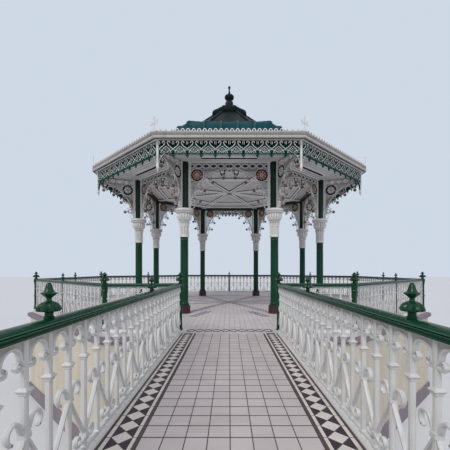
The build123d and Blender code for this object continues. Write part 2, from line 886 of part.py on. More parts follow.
# Ogee roof of eight panels: low skirt, upright dome side, round shoulder and a sweep up to the cap
neck_apothem = neck_ring * half_cos
with BuildLine() as roof_line:
    FilletPolyline(
        (cornice_apothem - gutter_width, 0),
        (dome_ring * half_cos, skirt_rise),
        (dome_ring * half_cos, shoulder_rise),
        (brow_ring * half_cos, brow_rise),
        (neck_apothem, neck_rise),
        radius=[cove_radius, shoulder_radius, sweep_radius],
    )
roof_outline = [(cornice_apothem - gutter_width, 0)]
for edge in roof_line.edges().sort_by(Axis.Y):
    facets = 1 if edge.geom_type == GeomType.LINE else arc_facets
    stations = [edge @ (step / facets) for step in range(facets + 1)]
    stations.sort(key=lambda point: point.Y)
    roof_outline += [(point.X, point.Y) for point in stations[1:]]
with BuildSketch() as roof_section:
    with BuildLine():
        seat = neck_apothem - neck_seat
        Polyline(*roof_outline, (seat, neck_rise), (seat, 0), close=True)
    make_face()
with BuildPart() as roof_side:
    with BuildSketch(Plane.XZ):
        with Locations((0, roof_bottom)):
            add(roof_section.sketch)
        with Locations((-roof_thickness, roof_bottom - roof_thickness)):
            add(roof_section.sketch, mode=Mode.SUBTRACT)
    extrude(amount=cornice_ring, both=True)
roof_eighth = mitred(roof_side.part)
with BuildPart() as roof:
    with PolarLocations(0, sides):
        add(roof_eighth)
roof.part.label = "roof"
export_step(roof.part, "parts/roof.step")

# A roll over each hip joint, following the panels' own outline
hip_line = [(apothem / half_cos, roof_bottom + height) for apothem, height in roof_outline]
with BuildPart() as hip_roll:
    with BuildSketch(Plane.XZ):
        with BuildLine():
            outer = [(ring + hip_height, height + hip_height / 2) for ring, height in hip_line[:-1]]
            inner = [(ring - hip_seat, height - hip_seat / 2) for ring, height in hip_line]
            outer.append((hip_line[-1][0] + hip_height, hip_line[-1][1]))
            inner[-1] = (hip_line[-1][0] - hip_seat, hip_line[-1][1])
            Polyline(*outer, *reversed(inner), close=True)
        make_face()
    extrude(amount=hip_width / 2, both=True)
    for way in (-1, 1):
        with Locations(Location((0, 0, 0), (0, 0, way * half_turn))):
            add(roof_eighth, mode=Mode.SUBTRACT)
    with Locations((0, 0, roof_bottom)):
        Box(
            4 * cornice_ring,
            hip_width,
            2 * neck_rise,
            align=(Align.CENTER, Align.CENTER, Align.MIN),
            mode=Mode.INTERSECT,
        )
with BuildPart() as hip_rolls:
    with PolarLocations(0, sides, start_angle=first_corner):
        add(hip_roll.part)
hip_rolls.part.label = "hip_rolls"
export_step(hip_rolls.part, "parts/hip_rolls.step")

# Cap over the neck of the roof, and the turned finial on top of it
cap_bottom = roof_bottom + neck_rise
roof_cap_solid = stacked(
    [
        (cap_ring * half_cos, 0),
        (cap_ring * half_cos, cap_side_height),
        (cap_brow_ring * half_cos, cap_brow_height),
        (cap_top_ring * half_cos, cap_height),
    ],
    sides,
    first_corner,
)
with BuildPart() as roof_cap:
    with Locations((0, 0, cap_bottom)):
        add(roof_cap_solid)
roof_cap.part.label = "roof_cap"
export_step(roof_cap.part, "parts/roof_cap.step")

roof_finial_solid = stacked(
    [
        (bell_base_radius, 0),
        (bell_waist_radius, bell_waist_height),
        (bulb_radius, bulb_height),
        (bulb_crown_radius, bulb_crown_height),
        (spike_foot_radius, spike_foot_height),
        (spike_radius, spike_neck_height),
        (knob_radius, knob_height),
        (spike_radius, spike_height),
    ],
    capital_sides,
)
with BuildPart() as roof_finial:
    with Locations((0, 0, cap_bottom + cap_height)):
        add(roof_finial_solid)
roof_finial.part.label = "roof_finial"
export_step(roof_finial.part, "parts/roof_finial.step")
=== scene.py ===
"""The octagonal bandstand, its platform and its bridge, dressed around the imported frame."""

import logging
import math
from dataclasses import dataclass, field
from enum import Enum
from typing import Iterable, Sequence, Union

import bmesh
import bpy
import numpy as np
from mathutils import Matrix, Vector
from mathutils.geometry import tessellate_polygon


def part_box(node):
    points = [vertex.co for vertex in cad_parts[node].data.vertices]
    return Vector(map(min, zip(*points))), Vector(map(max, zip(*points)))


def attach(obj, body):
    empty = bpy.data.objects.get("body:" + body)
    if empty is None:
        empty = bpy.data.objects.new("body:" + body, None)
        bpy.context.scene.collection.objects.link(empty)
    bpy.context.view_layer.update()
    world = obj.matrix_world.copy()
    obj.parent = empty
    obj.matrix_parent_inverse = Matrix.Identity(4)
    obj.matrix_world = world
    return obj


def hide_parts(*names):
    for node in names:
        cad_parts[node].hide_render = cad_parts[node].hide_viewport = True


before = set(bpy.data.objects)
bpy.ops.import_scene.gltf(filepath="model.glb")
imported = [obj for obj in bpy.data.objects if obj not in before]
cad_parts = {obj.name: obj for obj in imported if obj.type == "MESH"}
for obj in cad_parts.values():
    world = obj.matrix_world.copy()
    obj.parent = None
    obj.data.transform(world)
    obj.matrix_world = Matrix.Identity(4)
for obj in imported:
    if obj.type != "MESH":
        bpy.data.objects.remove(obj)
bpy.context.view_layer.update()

Flat = tuple[float, float]
Colour = tuple[float, float, float]
log = logging.getLogger("bandstand")

SIDES = 8
HALF_TURN = math.pi / SIDES
HALF_COS = math.cos(HALF_TURN)
HALF_SIN = math.sin(HALF_TURN)
HALF_TAN = math.tan(HALF_TURN)
COLUMN_RING = 4.4
SOFFIT = 5.62
PLAIN_BELOW = 0.028  # a strap narrower than this has a plain oblong section
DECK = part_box("platform_floor")[1].z


class Shape:
    """A mesh in the making: its points, its faces' corners, and the finish number of each face."""

    def __init__(self) -> None:
        """Starts with no points and no faces."""
        self.points = np.zeros((0, 3))
        self.corners = np.zeros(0, int)
        self.sizes = np.zeros(0, int)
        self.tones = np.zeros(0, int)

    def add(self, points: Iterable, faces: Iterable[Sequence[int]], tone: int = 0) -> "Shape":
        """Adds one closed surface and turns its faces outward.

        Args:
            points: the surface's points, three numbers each.
            faces: each face as the numbers of its points.
            tone: the finish number of these faces.

        Returns:
            This shape.
        """
        work = bmesh.new()
        corners = [work.verts.new(tuple(point)) for point in points]
        for face in faces:
            work.faces.new([corners[index] for index in face])
        bmesh.ops.recalc_face_normals(work, faces=work.faces)
        work.verts.index_update()
        base = len(self.points)
        self.points = np.vstack([self.points, [tuple(corner.co) for corner in work.verts]])
        added = [[corner.index + base for corner in face.verts] for face in work.faces]
        numbers = [index for face in added for index in face]
        self.corners = np.concatenate([self.corners, numbers]).astype(int)
        self.sizes = np.concatenate([self.sizes, [len(face) for face in added]]).astype(int)
        self.tones = np.concatenate([self.tones, [tone] * len(added)]).astype(int)
        work.free()
        return self

    def placed(self, place: Matrix) -> "Shape":
        """Gives this shape at another place.

        Args:
            place: the move, which may mirror.

        Returns:
            The moved copy.
        """
        move = np.array(place)
        copy = Shape()
        copy.points = self.points @ move[:3, :3].T + move[:3, 3]
        copy.corners, copy.sizes, copy.tones = self.corners, self.sizes, self.tones
        if np.linalg.det(move[:3, :3]) < 0:
            starts = np.cumsum(self.sizes) - self.sizes
            last = np.repeat(starts + self.sizes - 1, self.sizes)
            first = np.repeat(starts, self.sizes)
            copy.corners = self.corners[last - (np.arange(len(self.corners)) - first)]
        return copy

    def join(self, others: Iterable["Shape"]) -> "Shape":
        """Takes in the faces of other shapes.

        Args:
            others: the shapes to take in.

        Returns:
            This shape.
        """
        every = [self, *others]
        starts = np.cumsum([0] + [len(shape.points) for shape in every])
        self.corners = np.concatenate([s.corners + start for s, start in zip(every, starts)]).astype(int)
        self.sizes = np.concatenate([shape.sizes for shape in every])
        self.tones = np.concatenate([shape.tones for shape in every])
        self.points = np.vstack([shape.points for shape in every])
        return self

    def __iadd__(self, other: Union["Shape", Iterable["Shape"]]) -> "Shape":
        """Takes in one shape or several."""
        return self.join([other] if isinstance(other, Shape) else other)

    def repeated(self, places: Iterable[Matrix]) -> "Shape":
        """Joins a copy of this shape at each place."""
        return Shape().join([self.placed(place) for place in places])

    def toned(self, tone: int) -> "Shape":
        """Gives every face the same finish number."""
        self.tones = np.full(len(self.sizes), tone)
        return self


def shift(x: float = 0.0, y: float = 0.0, z: float = 0.0) -> Matrix:
    """A move along the axes."""
    return Matrix.Translation((x, y, z))


def spin(angle: float, axis: str = "Z") -> Matrix:
    """A turn about an axis, in radians."""
    return Matrix.Rotation(angle, 4, axis)


def around(radius: float, count: int = SIDES, start: float = HALF_TURN, skip: int = 0) -> list[Matrix]:
    """Places spread round the axis, each with its own +X pointing outward.

    Args:
        radius: distance from the axis.
        count: how many places a full turn holds.
        start: angle of the first place.
        skip: how many of the last places are left out.

    Returns:
        The places.
    """
    return [spin(start + index * math.tau / count) @ shift(radius) for index in range(count - skip)]


STAY = Matrix.Identity(4)
MIRROR_X = Matrix.Diagonal((-1, 1, 1, 1))
TURNS = [spin(number * math.tau / SIDES) for number in range(SIDES)]


def mm(*levels: tuple[float, ...]) -> list[tuple[float, ...]]:
    """Radii and heights in millimetres as metres, with what follows them kept as it is."""
    return [(radius / 1000, height / 1000, *rest) for radius, height, *rest in levels]


def oblong(low: Flat, high: Flat) -> list[Flat]:
    """The corners of a rectangle, from one corner and the corner across from it."""
    return [low, (high[0], low[1]), high, (low[0], high[1])]


def skin(count: int, ring: int, closed: bool = False) -> list[tuple[int, ...]]:
    """The faces over a chain of rings of points.

    Args:
        count: how many rings there are.
        ring: how many points each ring has.
        closed: whether the last ring runs on to the first, in place of a cap at each end.

    Returns:
        The faces, as the numbers of their points.
    """
    faces = []
    for index in range(count if closed else count - 1):
        here, there = index * ring, (index + 1) % count * ring
        faces += [(here + k, here + (k + 1) % ring, there + (k + 1) % ring, there + k) for k in range(ring)]
    if not closed:
        faces += [tuple(range(ring)), tuple(range((count - 1) * ring, count * ring))]
    return faces


def arc(centre: Flat, radius: float, start: float, end: float, count: int,
        squash: float = 1.0) -> list[Flat]:
    """Points along an arc.

    Args:
        centre: the arc's centre.
        radius: its radius.
        start: first angle in degrees.
        end: last angle in degrees.
        count: number of steps.
        squash: height of the arc as a share of its width.

    Returns:
        The points, ends included.
    """
    angles = [math.radians(start + (end - start) * step / count) for step in range(count + 1)]
    return [(centre[0] + radius * math.cos(a), centre[1] + radius * squash * math.sin(a)) for a in angles]


def hoop(radius: float, count: int, centre: Flat = (0.0, 0.0), squash: float = 1.0) -> list[Flat]:
    """The points of a closed ring, as arc gives them."""
    return arc(centre, radius, 0, 360 - 360 / count, count - 1, squash)


def mirrored(half: Sequence[Flat], flip: Flat = (-1, 1), shared: int = 0) -> list[Flat]:
    """An outline from its first half, which its mirror image follows backwards.

    Args:
        half: the first half.
        flip: the factors of both measures on the other side.
        shared: how many points at the turn both halves share.

    Returns:
        The outline.
    """
    return [*half, *[(x * flip[0], z * flip[1]) for x, z in reversed(half[:len(half) - shared])]]


def spiral(centre: Flat, outer: float, inner: float, start: float, end: float, count: int) -> list[Flat]:
    """Points along a spiral that closes from an outer to an inner radius.

    Args:
        centre: the spiral's centre.
        outer: radius at its start.
        inner: radius at its end.
        start: first angle in degrees.
        end: last angle in degrees.
        count: number of steps.

    Returns:
        The points, ends included.
    """
    points = []
    for step in range(count + 1):
        share = step / count
        angle = math.radians(start + (end - start) * share)
        radius = outer + (inner - outer) * share
        points.append((centre[0] + radius * math.cos(angle), centre[1] + radius * math.sin(angle)))
    return points


def bend(first: Flat, pull: Flat, push: Flat, last: Flat, count: int) -> list[Flat]:
    """Points along a cubic curve.

    Args:
        first: where it starts.
        pull: the point that its start heads for.
        push: the point that its end comes from.
        last: where it ends.
        count: number of steps.

    Returns:
        The points, ends included.
    """
    points = []
    for step in range(count + 1):
        t = step / count
        weights = ((1 - t) ** 3, 3 * t * (1 - t) ** 2, 3 * t * t * (1 - t), t ** 3)
        pairs = list(zip(weights, (first, pull, push, last)))
        points.append(tuple(sum(weight * point[k] for weight, point in pairs) for k in (0, 1)))
    return points


def strap(path: Sequence[Flat], width: float, depth: float, tip: float = 1.0, root: float = 1.0,
        closed: bool = False, tone: int = 0, at: float = 0.0) -> Shape:
    """A cast strap with bevelled edges that follows a path in the plane of X and Z.

    Args:
        path: the strap's centre line.
        width: its width across the path.
        depth: its thickness along Y.
        tip: width at the last point as a share of the width.
        root: width at the first point as a share of the width.
        closed: whether the last point runs on to the first.
        tone: its finish number.
        at: the middle of its thickness along Y.

    Returns:
        The strap.
    """
    line = np.array(path, float)
    if closed:
        before, after = np.roll(line, 1, 0), np.roll(line, -1, 0)
    else:
        before, after = np.vstack([line[:1], line[:-1]]), np.vstack([line[1:], line[-1:]])
    along = after - before
    along /= np.linalg.norm(along, axis=1)[:, None] + 1e-12
    across = np.stack([along[:, 1], -along[:, 0]], 1)
    count = len(line)
    share = np.linspace(0, 1, count)
    opening = root + (1 - root) * np.minimum(share * 4, 1)
    closing = tip + (1 - tip) * np.minimum((1 - share) * 4, 1)
    scale = np.where(share < 0.5, opening, closing)
    section = [(0.5, 0.0), (0.27, 0.5), (-0.27, 0.5), (-0.5, 0.0), (-0.27, -0.5), (0.27, -0.5)]
    if width < PLAIN_BELOW:
        section = [(0.44, 0.5), (-0.44, 0.5), (-0.44, -0.5), (0.44, -0.5)]
    points = []
    for index in range(count):
        for out, back in section:
            x, z = line[index] + across[index] * out * width * scale[index]
            points.append((x, at + back * depth, z))
    return Shape().add(points, skin(count, len(section), closed), tone)


def plate(outline: Sequence[Flat], holes: Sequence[Sequence[Flat]], half: float, tone: int = 0,
        at: float = 0.0) -> Shape:
    """A pierced plate in the plane of X and Z.

    Args:
        outline: its outer edge.
        holes: the edges of its openings.
        half: half its thickness.
        tone: its finish number.
        at: the middle of its thickness along Y.

    Returns:
        The plate.
    """
    loops = [list(outline), *[list(hole) for hole in holes]]
    flat = [point for loop in loops for point in loop]
    triangles = tessellate_polygon([[Vector((x, z, 0)) for x, z in loop] for loop in loops])
    count = len(flat)
    points = [(x, at + side * half, z) for side in (-1, 1) for x, z in flat]
    faces = [tuple(t) for t in triangles] + [tuple(index + count for index in t) for t in triangles]
    start = 0
    for loop in loops:
        size = len(loop)
        for k in range(size):
            here, there = start + k, start + (k + 1) % size
            faces.append((here, there, there + count, here + count))
        start += size
    return Shape().add(points, faces, tone)


def turned(profile: Sequence[tuple[float, ...]], count: int = 24, lobes: int = 0, tone: int = 0,
        start: float = 0.0) -> Shape:
    """A turning about the vertical axis, plain or fluted.

    Args:
        profile: radius and height from bottom to top, with the depth of the lobes as a third number.
        count: number of sides.
        lobes: how many lobes a full turn has.
        tone: its finish number.
        start: angle of the first side.

    Returns:
        The turning.
    """
    points = []
    for level in profile:
        depth = level[2] if len(level) > 2 else 0.0
        for side in range(count):
            angle = start + side * math.tau / count
            radius = level[0] * (1 - depth * (1 - abs(math.cos(angle * lobes / 2))))
            points.append((radius * math.cos(angle), radius * math.sin(angle), level[1]))
    return Shape().add(points, skin(len(profile), count), tone)


def moulding(path: Sequence[Flat], section: Sequence[Flat], closed: bool = False, tone: int = 0) -> Shape:
    """A moulding run along a path in plan, with mitred corners.

    Args:
        path: the line that it follows, anticlockwise where it goes round.
        section: outward distance and height of each edge.
        closed: whether the path comes back to its start.
        tone: its finish number.

    Returns:
        The moulding.
    """
    line = np.array(path, float)
    count = len(line)
    points = []
    for index in range(count):
        before = line[index] - line[index - 1] if closed or index else line[1] - line[0]
        after = line[(index + 1) % count] - line[index] if closed or index < count - 1 else before
        normals = [np.array((way[1], -way[0])) / np.hypot(*way) for way in (before, after)]
        out = normals[0] + normals[1]
        out *= 2 / out.dot(out)
        points += [(*(line[index] + out * away), height) for away, height in section]
    return Shape().add(points, skin(count, len(section), closed), tone)


def octagon(ring: float) -> list[Flat]:
    """The corners of an octagon of this circumradius with flats square to the axes."""
    return arc((0, 0), ring, 22.5, 337.5, SIDES - 1)


def block(low: Sequence[float], high: Sequence[float], edge: float = 0.0, tone: int = 0) -> Shape:
    """A block between two corners, with its upper edges bevelled.

    Args:
        low: lowest corner.
        high: highest corner.
        edge: width of the bevel.
        tone: its finish number.

    Returns:
        The block.
    """
    (x0, y0, z0), (x1, y1, z1) = low, high
    levels = [(0.0, z0), (0.0, z1 - edge), (edge, z1)] if edge else [(0.0, z0), (0.0, z1)]
    points = []
    for inset, z in levels:
        points += [(x, y, z) for x, y in oblong((x0 + inset, y0 + inset), (x1 - inset, y1 - inset))]
    return Shape().add(points, skin(len(levels), 4), tone)


def tile(outline: Sequence[Flat], top: float, thickness: float, edge: float = 0.003, tone: int = 0) -> Shape:
    """A floor tile with a softened upper edge, lying flat.

    Args:
        outline: its edge.
        top: height of its surface.
        thickness: how thick it is.
        edge: width of the softened edge.
        tone: its finish number.

    Returns:
        The tile.
    """
    ring = np.array(outline, float)
    centre = ring.mean(0)
    reach = np.linalg.norm(ring - centre, axis=1).mean()
    inner = centre + (ring - centre) * (1 - edge / reach)
    levels = [(ring, top - thickness), (ring, top - edge), (inner, top)]
    points = [(x, y, z) for loop, z in levels for x, y in loop]
    return Shape().add(points, skin(len(levels), len(ring)), tone)


Number = Union[float, "Value"]


class Value:
    """A shader socket that can be written into sums."""

    def __init__(self, graph: "Graph", socket: bpy.types.NodeSocket) -> None:
        """Keeps the graph and its socket."""
        self.graph, self.socket = graph, socket

    def _math(self, operation: str, first: Number, second: Number = 0.0) -> "Value":
        """Adds one Math node."""
        return self.graph.value("ShaderNodeMath", {"operation": operation}, {0: first, 1: second})

    def __add__(self, other: Number) -> "Value":
        """Sum."""
        return self._math("ADD", self, other)

    __radd__ = __add__

    def __sub__(self, other: Number) -> "Value":
        """Difference."""
        return self._math("SUBTRACT", self, other)

    def __rsub__(self, other: Number) -> "Value":
        """Difference from a number."""
        return self._math("SUBTRACT", other, self)

    def __mul__(self, other: Number) -> "Value":
        """Product."""
        return self._math("MULTIPLY", self, other)

    __rmul__ = __mul__

    def __truediv__(self, other: Number) -> "Value":
        """Quotient."""
        return self._math("DIVIDE", self, other)

    def __gt__(self, other: Number) -> "Value":
        """One where this is the larger."""
        return self._math("GREATER_THAN", self, other)

    def __abs__(self) -> "Value":
        """Size without its sign."""
        return self._math("ABSOLUTE", self)

    def whole(self) -> "Value":
        """The whole number below."""
        return self._math("FLOOR", self)

    def part(self) -> "Value":
        """What is left over the whole number below."""
        return self._math("FRACT", self)

    def larger(self, other: Number) -> "Value":
        """The larger of two."""
        return self._math("MAXIMUM", self, other)

    def between(self, low: float, high: float) -> "Value":
        """Zero at low, one at high and even in between."""
        inputs = {"Value": self, "From Min": low, "From Max": high}
        return self.graph.value("ShaderNodeMapRange", {"clamp": True}, inputs)


class Graph:
    """The nodes of one material."""

    def __init__(self, name: str) -> None:
        """Makes the material with its shader and output.

        Args:
            name: the material's name.
        """
        self.material = bpy.data.materials.new(name)
        self.material.use_nodes = True
        self.tree = self.material.node_tree
        self.shader = self.tree.nodes["Principled BSDF"]

    def node(self, kind: str, settings: dict, inputs: dict) -> bpy.types.Node:
        """Adds a node.

        Args:
            kind: the node's type.
            settings: its options, set first.
            inputs: value or link of each socket, by name or number.

        Returns:
            The node.
        """
        made = self.tree.nodes.new(kind)
        for name, setting in settings.items():
            setattr(made, name, setting)
        for name, given in inputs.items():
            if isinstance(given, Value):
                self.tree.links.new(given.socket, made.inputs[name])
            else:
                made.inputs[name].default_value = given
        return made

    def value(self, kind: str, settings: dict, inputs: dict, output: Union[int, str] = 0) -> Value:
        """Adds a node and gives one of its outputs as a value."""
        return Value(self, self.node(kind, settings, inputs).outputs[output])

    def place(self) -> Value:
        """Where a point is on the part, in metres."""
        return self.value("ShaderNodeTexCoord", {}, {}, "Object")

    def axes(self, vector: Value) -> tuple[Value, Value, Value]:
        """The three parts of a vector."""
        split = self.node("ShaderNodeSeparateXYZ", {}, {0: vector})
        return tuple(Value(self, split.outputs[k]) for k in range(3))

    def join(self, x: Number, y: Number, z: Number) -> Value:
        """A vector from its three parts."""
        return self.value("ShaderNodeCombineXYZ", {}, {0: x, 1: y, 2: z})

    def stretched(self, vector: Value, factors: Colour) -> Value:
        """A vector scaled along each axis."""
        return self.value("ShaderNodeVectorMath", {"operation": "MULTIPLY"}, {0: vector, 1: factors})

    def noise(self, vector: Value, scale: float, detail: float = 4.0, rough: float = 0.55) -> Value:
        """Cloudy noise between about 0 and 1."""
        inputs = {"Vector": vector, "Scale": scale, "Detail": detail, "Roughness": rough}
        return self.value("ShaderNodeTexNoise", {}, inputs)

    def cells(self, vector: Value) -> Value:
        """One random number for each whole-numbered cell."""
        return self.value("ShaderNodeTexWhiteNoise", {"noise_dimensions": "3D"}, {"Vector": vector})

    def mix(self, share: Number, first: Union[Colour, Value], second: Union[Colour, Value],
            how: str = "MIX") -> Value:
        """Mixes two colours.

        Args:
            share: how much of the second is taken.
            first: the first colour.
            second: the second colour.
            how: the way of mixing.

        Returns:
            The mixed colour.
        """
        pair = [given if isinstance(given, Value) else (*given, 1.0) for given in (first, second)]
        settings = {"data_type": "RGBA", "blend_type": how}
        return self.value("ShaderNodeMix", settings, {0: share, 6: pair[0], 7: pair[1]}, 2)

    def relief(self, height: Value, distance: float, strength: float = 1.0) -> None:
        """Sets a bump on the shader from a height."""
        settings = {"Height": height, "Distance": distance, "Strength": strength}
        self.wire("Normal", self.value("ShaderNodeBump", {}, settings))

    def wire(self, name: str, given: Union[Value, float, Colour]) -> None:
        """Sets one socket of the shader, by a link or by a constant.

        Args:
            name: the socket's name.
            given: the link, number or colour.
        """
        if isinstance(given, Value):
            self.tree.links.new(given.socket, self.shader.inputs[name])
        elif isinstance(given, tuple):
            self.shader.inputs[name].default_value = (*given, 1.0)
        else:
            self.shader.inputs[name].default_value = given


@dataclass(frozen=True)
class Paint:
    """Brushed gloss paint on cast iron, with weather in cloudy patches and thin runs."""

    name: str
    colour: Colour
    grime: Colour
    gloss: float = 0.35
    spread: float = 0.35
    coat: float = 0.25
    glance: float = 0.5

    def material(self) -> bpy.types.Material:
        """Builds the material.

        Returns:
            The material.
        """
        graph = Graph(self.name)
        place = graph.place()
        cloud = graph.noise(place, 2.3, 5)
        runs = graph.noise(graph.stretched(place, (16.0, 16.0, 1.6)), 1.0, 3)
        grain = graph.noise(place, 60.0, 3, 0.6)
        stain = (cloud * 0.55 + runs * 0.45).between(0.5, 0.74)
        pits = graph.noise(place, 160.0, 2).between(0.62, 0.8)
        base = graph.mix(stain * self.spread, self.colour, self.grime)
        dulled = tuple(channel * 0.86 for channel in self.colour)
        base = graph.mix(grain.between(0.45, 0.75) * 0.4, base, graph.mix(0.5, base, dulled))
        graph.wire("Base Color", graph.mix(pits * 0.25, base, self.grime))
        graph.wire("Roughness", self.gloss + stain * 0.22 + grain * 0.12)
        graph.wire("Specular IOR Level", self.glance)
        graph.wire("Coat Weight", self.coat)
        graph.wire("Coat Roughness", 0.22)
        graph.relief(grain * 0.6 + runs * 0.4 - pits * 0.3, 0.0012, 0.6)
        return graph.material


@dataclass(frozen=True)
class Stone:
    """Render, stone or asphalt: a rough mineral skin with stains that run down it."""

    name: str
    colour: Colour
    stain: Colour
    grit: float = 0.004
    spread: float = 0.5

    def material(self) -> bpy.types.Material:
        """Builds the material.

        Returns:
            The material.
        """
        graph = Graph(self.name)
        place = graph.place()
        cloud = graph.noise(place, 0.9, 6)
        streaks = graph.noise(graph.stretched(place, (3.0, 3.0, 0.35)), 1.0, 5)
        grain = graph.noise(place, 45.0, 4, 0.65)
        soil = (cloud * 0.5 + streaks * 0.5).between(0.42, 0.68)
        base = graph.mix(soil * self.spread, self.colour, self.stain)
        speck = graph.noise(place, 170.0, 2).between(0.55, 0.75)
        graph.wire("Base Color", graph.mix(speck * 0.35, base, tuple(c * 0.7 for c in self.colour)))
        graph.wire("Roughness", 0.82 + grain * 0.14)
        graph.relief(grain * 0.8 + cloud * 0.2, self.grit)
        return graph.material


@dataclass(frozen=True)
class Glaze:
    """Hard pressed floor tile: a slight sheen, fine specks and a tone of its own in each tile."""

    name: str
    colour: Colour
    tint: Colour
    pitch: float = 0.2
    spread: float = 0.5

    def material(self) -> bpy.types.Material:
        """Builds the material.

        Returns:
            The material.
        """
        graph = Graph(self.name)
        place = graph.place()
        x, y, _ = graph.axes(place)
        own = graph.cells(graph.join((x / self.pitch).whole(), (y / self.pitch).whole(), 0.0))
        cloud = graph.noise(place, 5.0, 5)
        speck = graph.noise(place, 220.0, 2).between(0.58, 0.75)
        walked = graph.noise(place, 1.1, 4).between(0.4, 0.7)
        base = graph.mix((own * 0.7 + cloud * 0.5).between(0.2, 1.0) * self.spread, self.colour, self.tint)
        base = graph.mix(walked * 0.16, base, tuple(c * 0.6 for c in self.tint))
        graph.wire("Base Color", graph.mix(speck * 0.2, base, tuple(c * 0.55 for c in self.tint)))
        graph.wire("Roughness", 0.42 + walked * 0.2 + own * 0.08)
        graph.relief(cloud * 0.5 + speck * 0.2, 0.0015)
        return graph.material


@dataclass(frozen=True)
class TiledFloor:
    """The platform's paving: square tiles with thin joints and a tone of its own in each tile."""

    name: str
    colour: Colour
    tint: Colour
    joint: Colour
    pitch: float = 0.157
    gap: float = 0.026

    def material(self) -> bpy.types.Material:
        """Builds the material.

        Returns:
            The material.
        """
        graph = Graph(self.name)
        place = graph.place()
        x, y, z = graph.axes(place)
        across, along = x / self.pitch, y / self.pitch
        own = graph.cells(graph.join(across.whole(), along.whole(), 0.0))
        edge = abs(across.part() - 0.5).larger(abs(along.part() - 0.5) + 0.014)
        seam = edge.between(0.5 - self.gap, 0.5 - self.gap * 0.6) * (z > DECK - 0.004)
        cloud = graph.noise(place, 4.0, 5)
        walked = graph.noise(place, 0.8, 4).between(0.4, 0.7)
        base = graph.mix((own * 0.7 + cloud * 0.4).between(0.2, 1.0) * 0.55, self.colour, self.tint)
        base = graph.mix(walked * 0.2, base, tuple(c * 0.6 for c in self.tint))
        graph.wire("Base Color", graph.mix(seam, base, self.joint))
        graph.wire("Roughness", 0.45 + walked * 0.2 + seam * 0.3)
        graph.relief(cloud * 0.2 - seam, 0.003)
        return graph.material


@dataclass(frozen=True)
class Boards:
    """Painted matchboarding laid in rings round the axis, with a groove beside each board."""

    name: str
    colour: Colour
    grime: Colour
    pitch: float = 0.115

    def material(self) -> bpy.types.Material:
        """Builds the material.

        Returns:
            The material.
        """
        graph = Graph(self.name)
        place = graph.place()
        x, y, z = graph.axes(place)
        x, y = abs(x), abs(y)
        reach = x.larger(y).larger((x + y) * math.sqrt(0.5)) / self.pitch
        own = graph.cells(graph.join(reach.whole(), 0.0, 0.0))
        groove = abs(reach.part() - 0.5).between(0.38, 0.46)
        grain = graph.noise(place, 22.0, 4)
        cloud = graph.noise(place, 1.3, 5).between(0.4, 0.72)
        base = graph.mix(cloud * 0.45 + own * 0.22, self.colour, self.grime)
        base = graph.mix(groove * 0.75, base, tuple(c * 0.25 for c in self.grime))
        graph.wire("Base Color", base)
        graph.wire("Roughness", 0.5 + grain * 0.2)
        graph.relief(grain * 0.12 - groove, 0.006)
        return graph.material


@dataclass(frozen=True)
class SheetMetal:
    """Painted sheet metal, weathered in runs down the slope, paler where the coat has chalked."""

    name: str
    colour: Colour
    chalk: Colour
    dark: Colour
    glance: float = 0.4

    def material(self) -> bpy.types.Material:
        """Builds the material.

        Returns:
            The material.
        """
        graph = Graph(self.name)
        place = graph.place()
        cloud = graph.noise(place, 1.4, 6)
        runs = graph.noise(graph.stretched(place, (7.0, 7.0, 0.7)), 1.0, 4)
        grain = graph.noise(place, 70.0, 3)
        pale = (cloud * 0.5 + runs * 0.5).between(0.48, 0.72)
        sooty = (graph.noise(place, 3.1, 5) * 0.5 + runs * 0.5).between(0.5, 0.7)
        base = graph.mix(pale * 0.55, self.colour, self.chalk)
        graph.wire("Base Color", graph.mix(sooty * 0.6, base, self.dark))
        graph.wire("Roughness", 0.38 + pale * 0.25)
        graph.wire("Specular IOR Level", self.glance)
        graph.relief(grain * 0.3 + cloud * 0.7, 0.004, 0.5)
        return graph.material


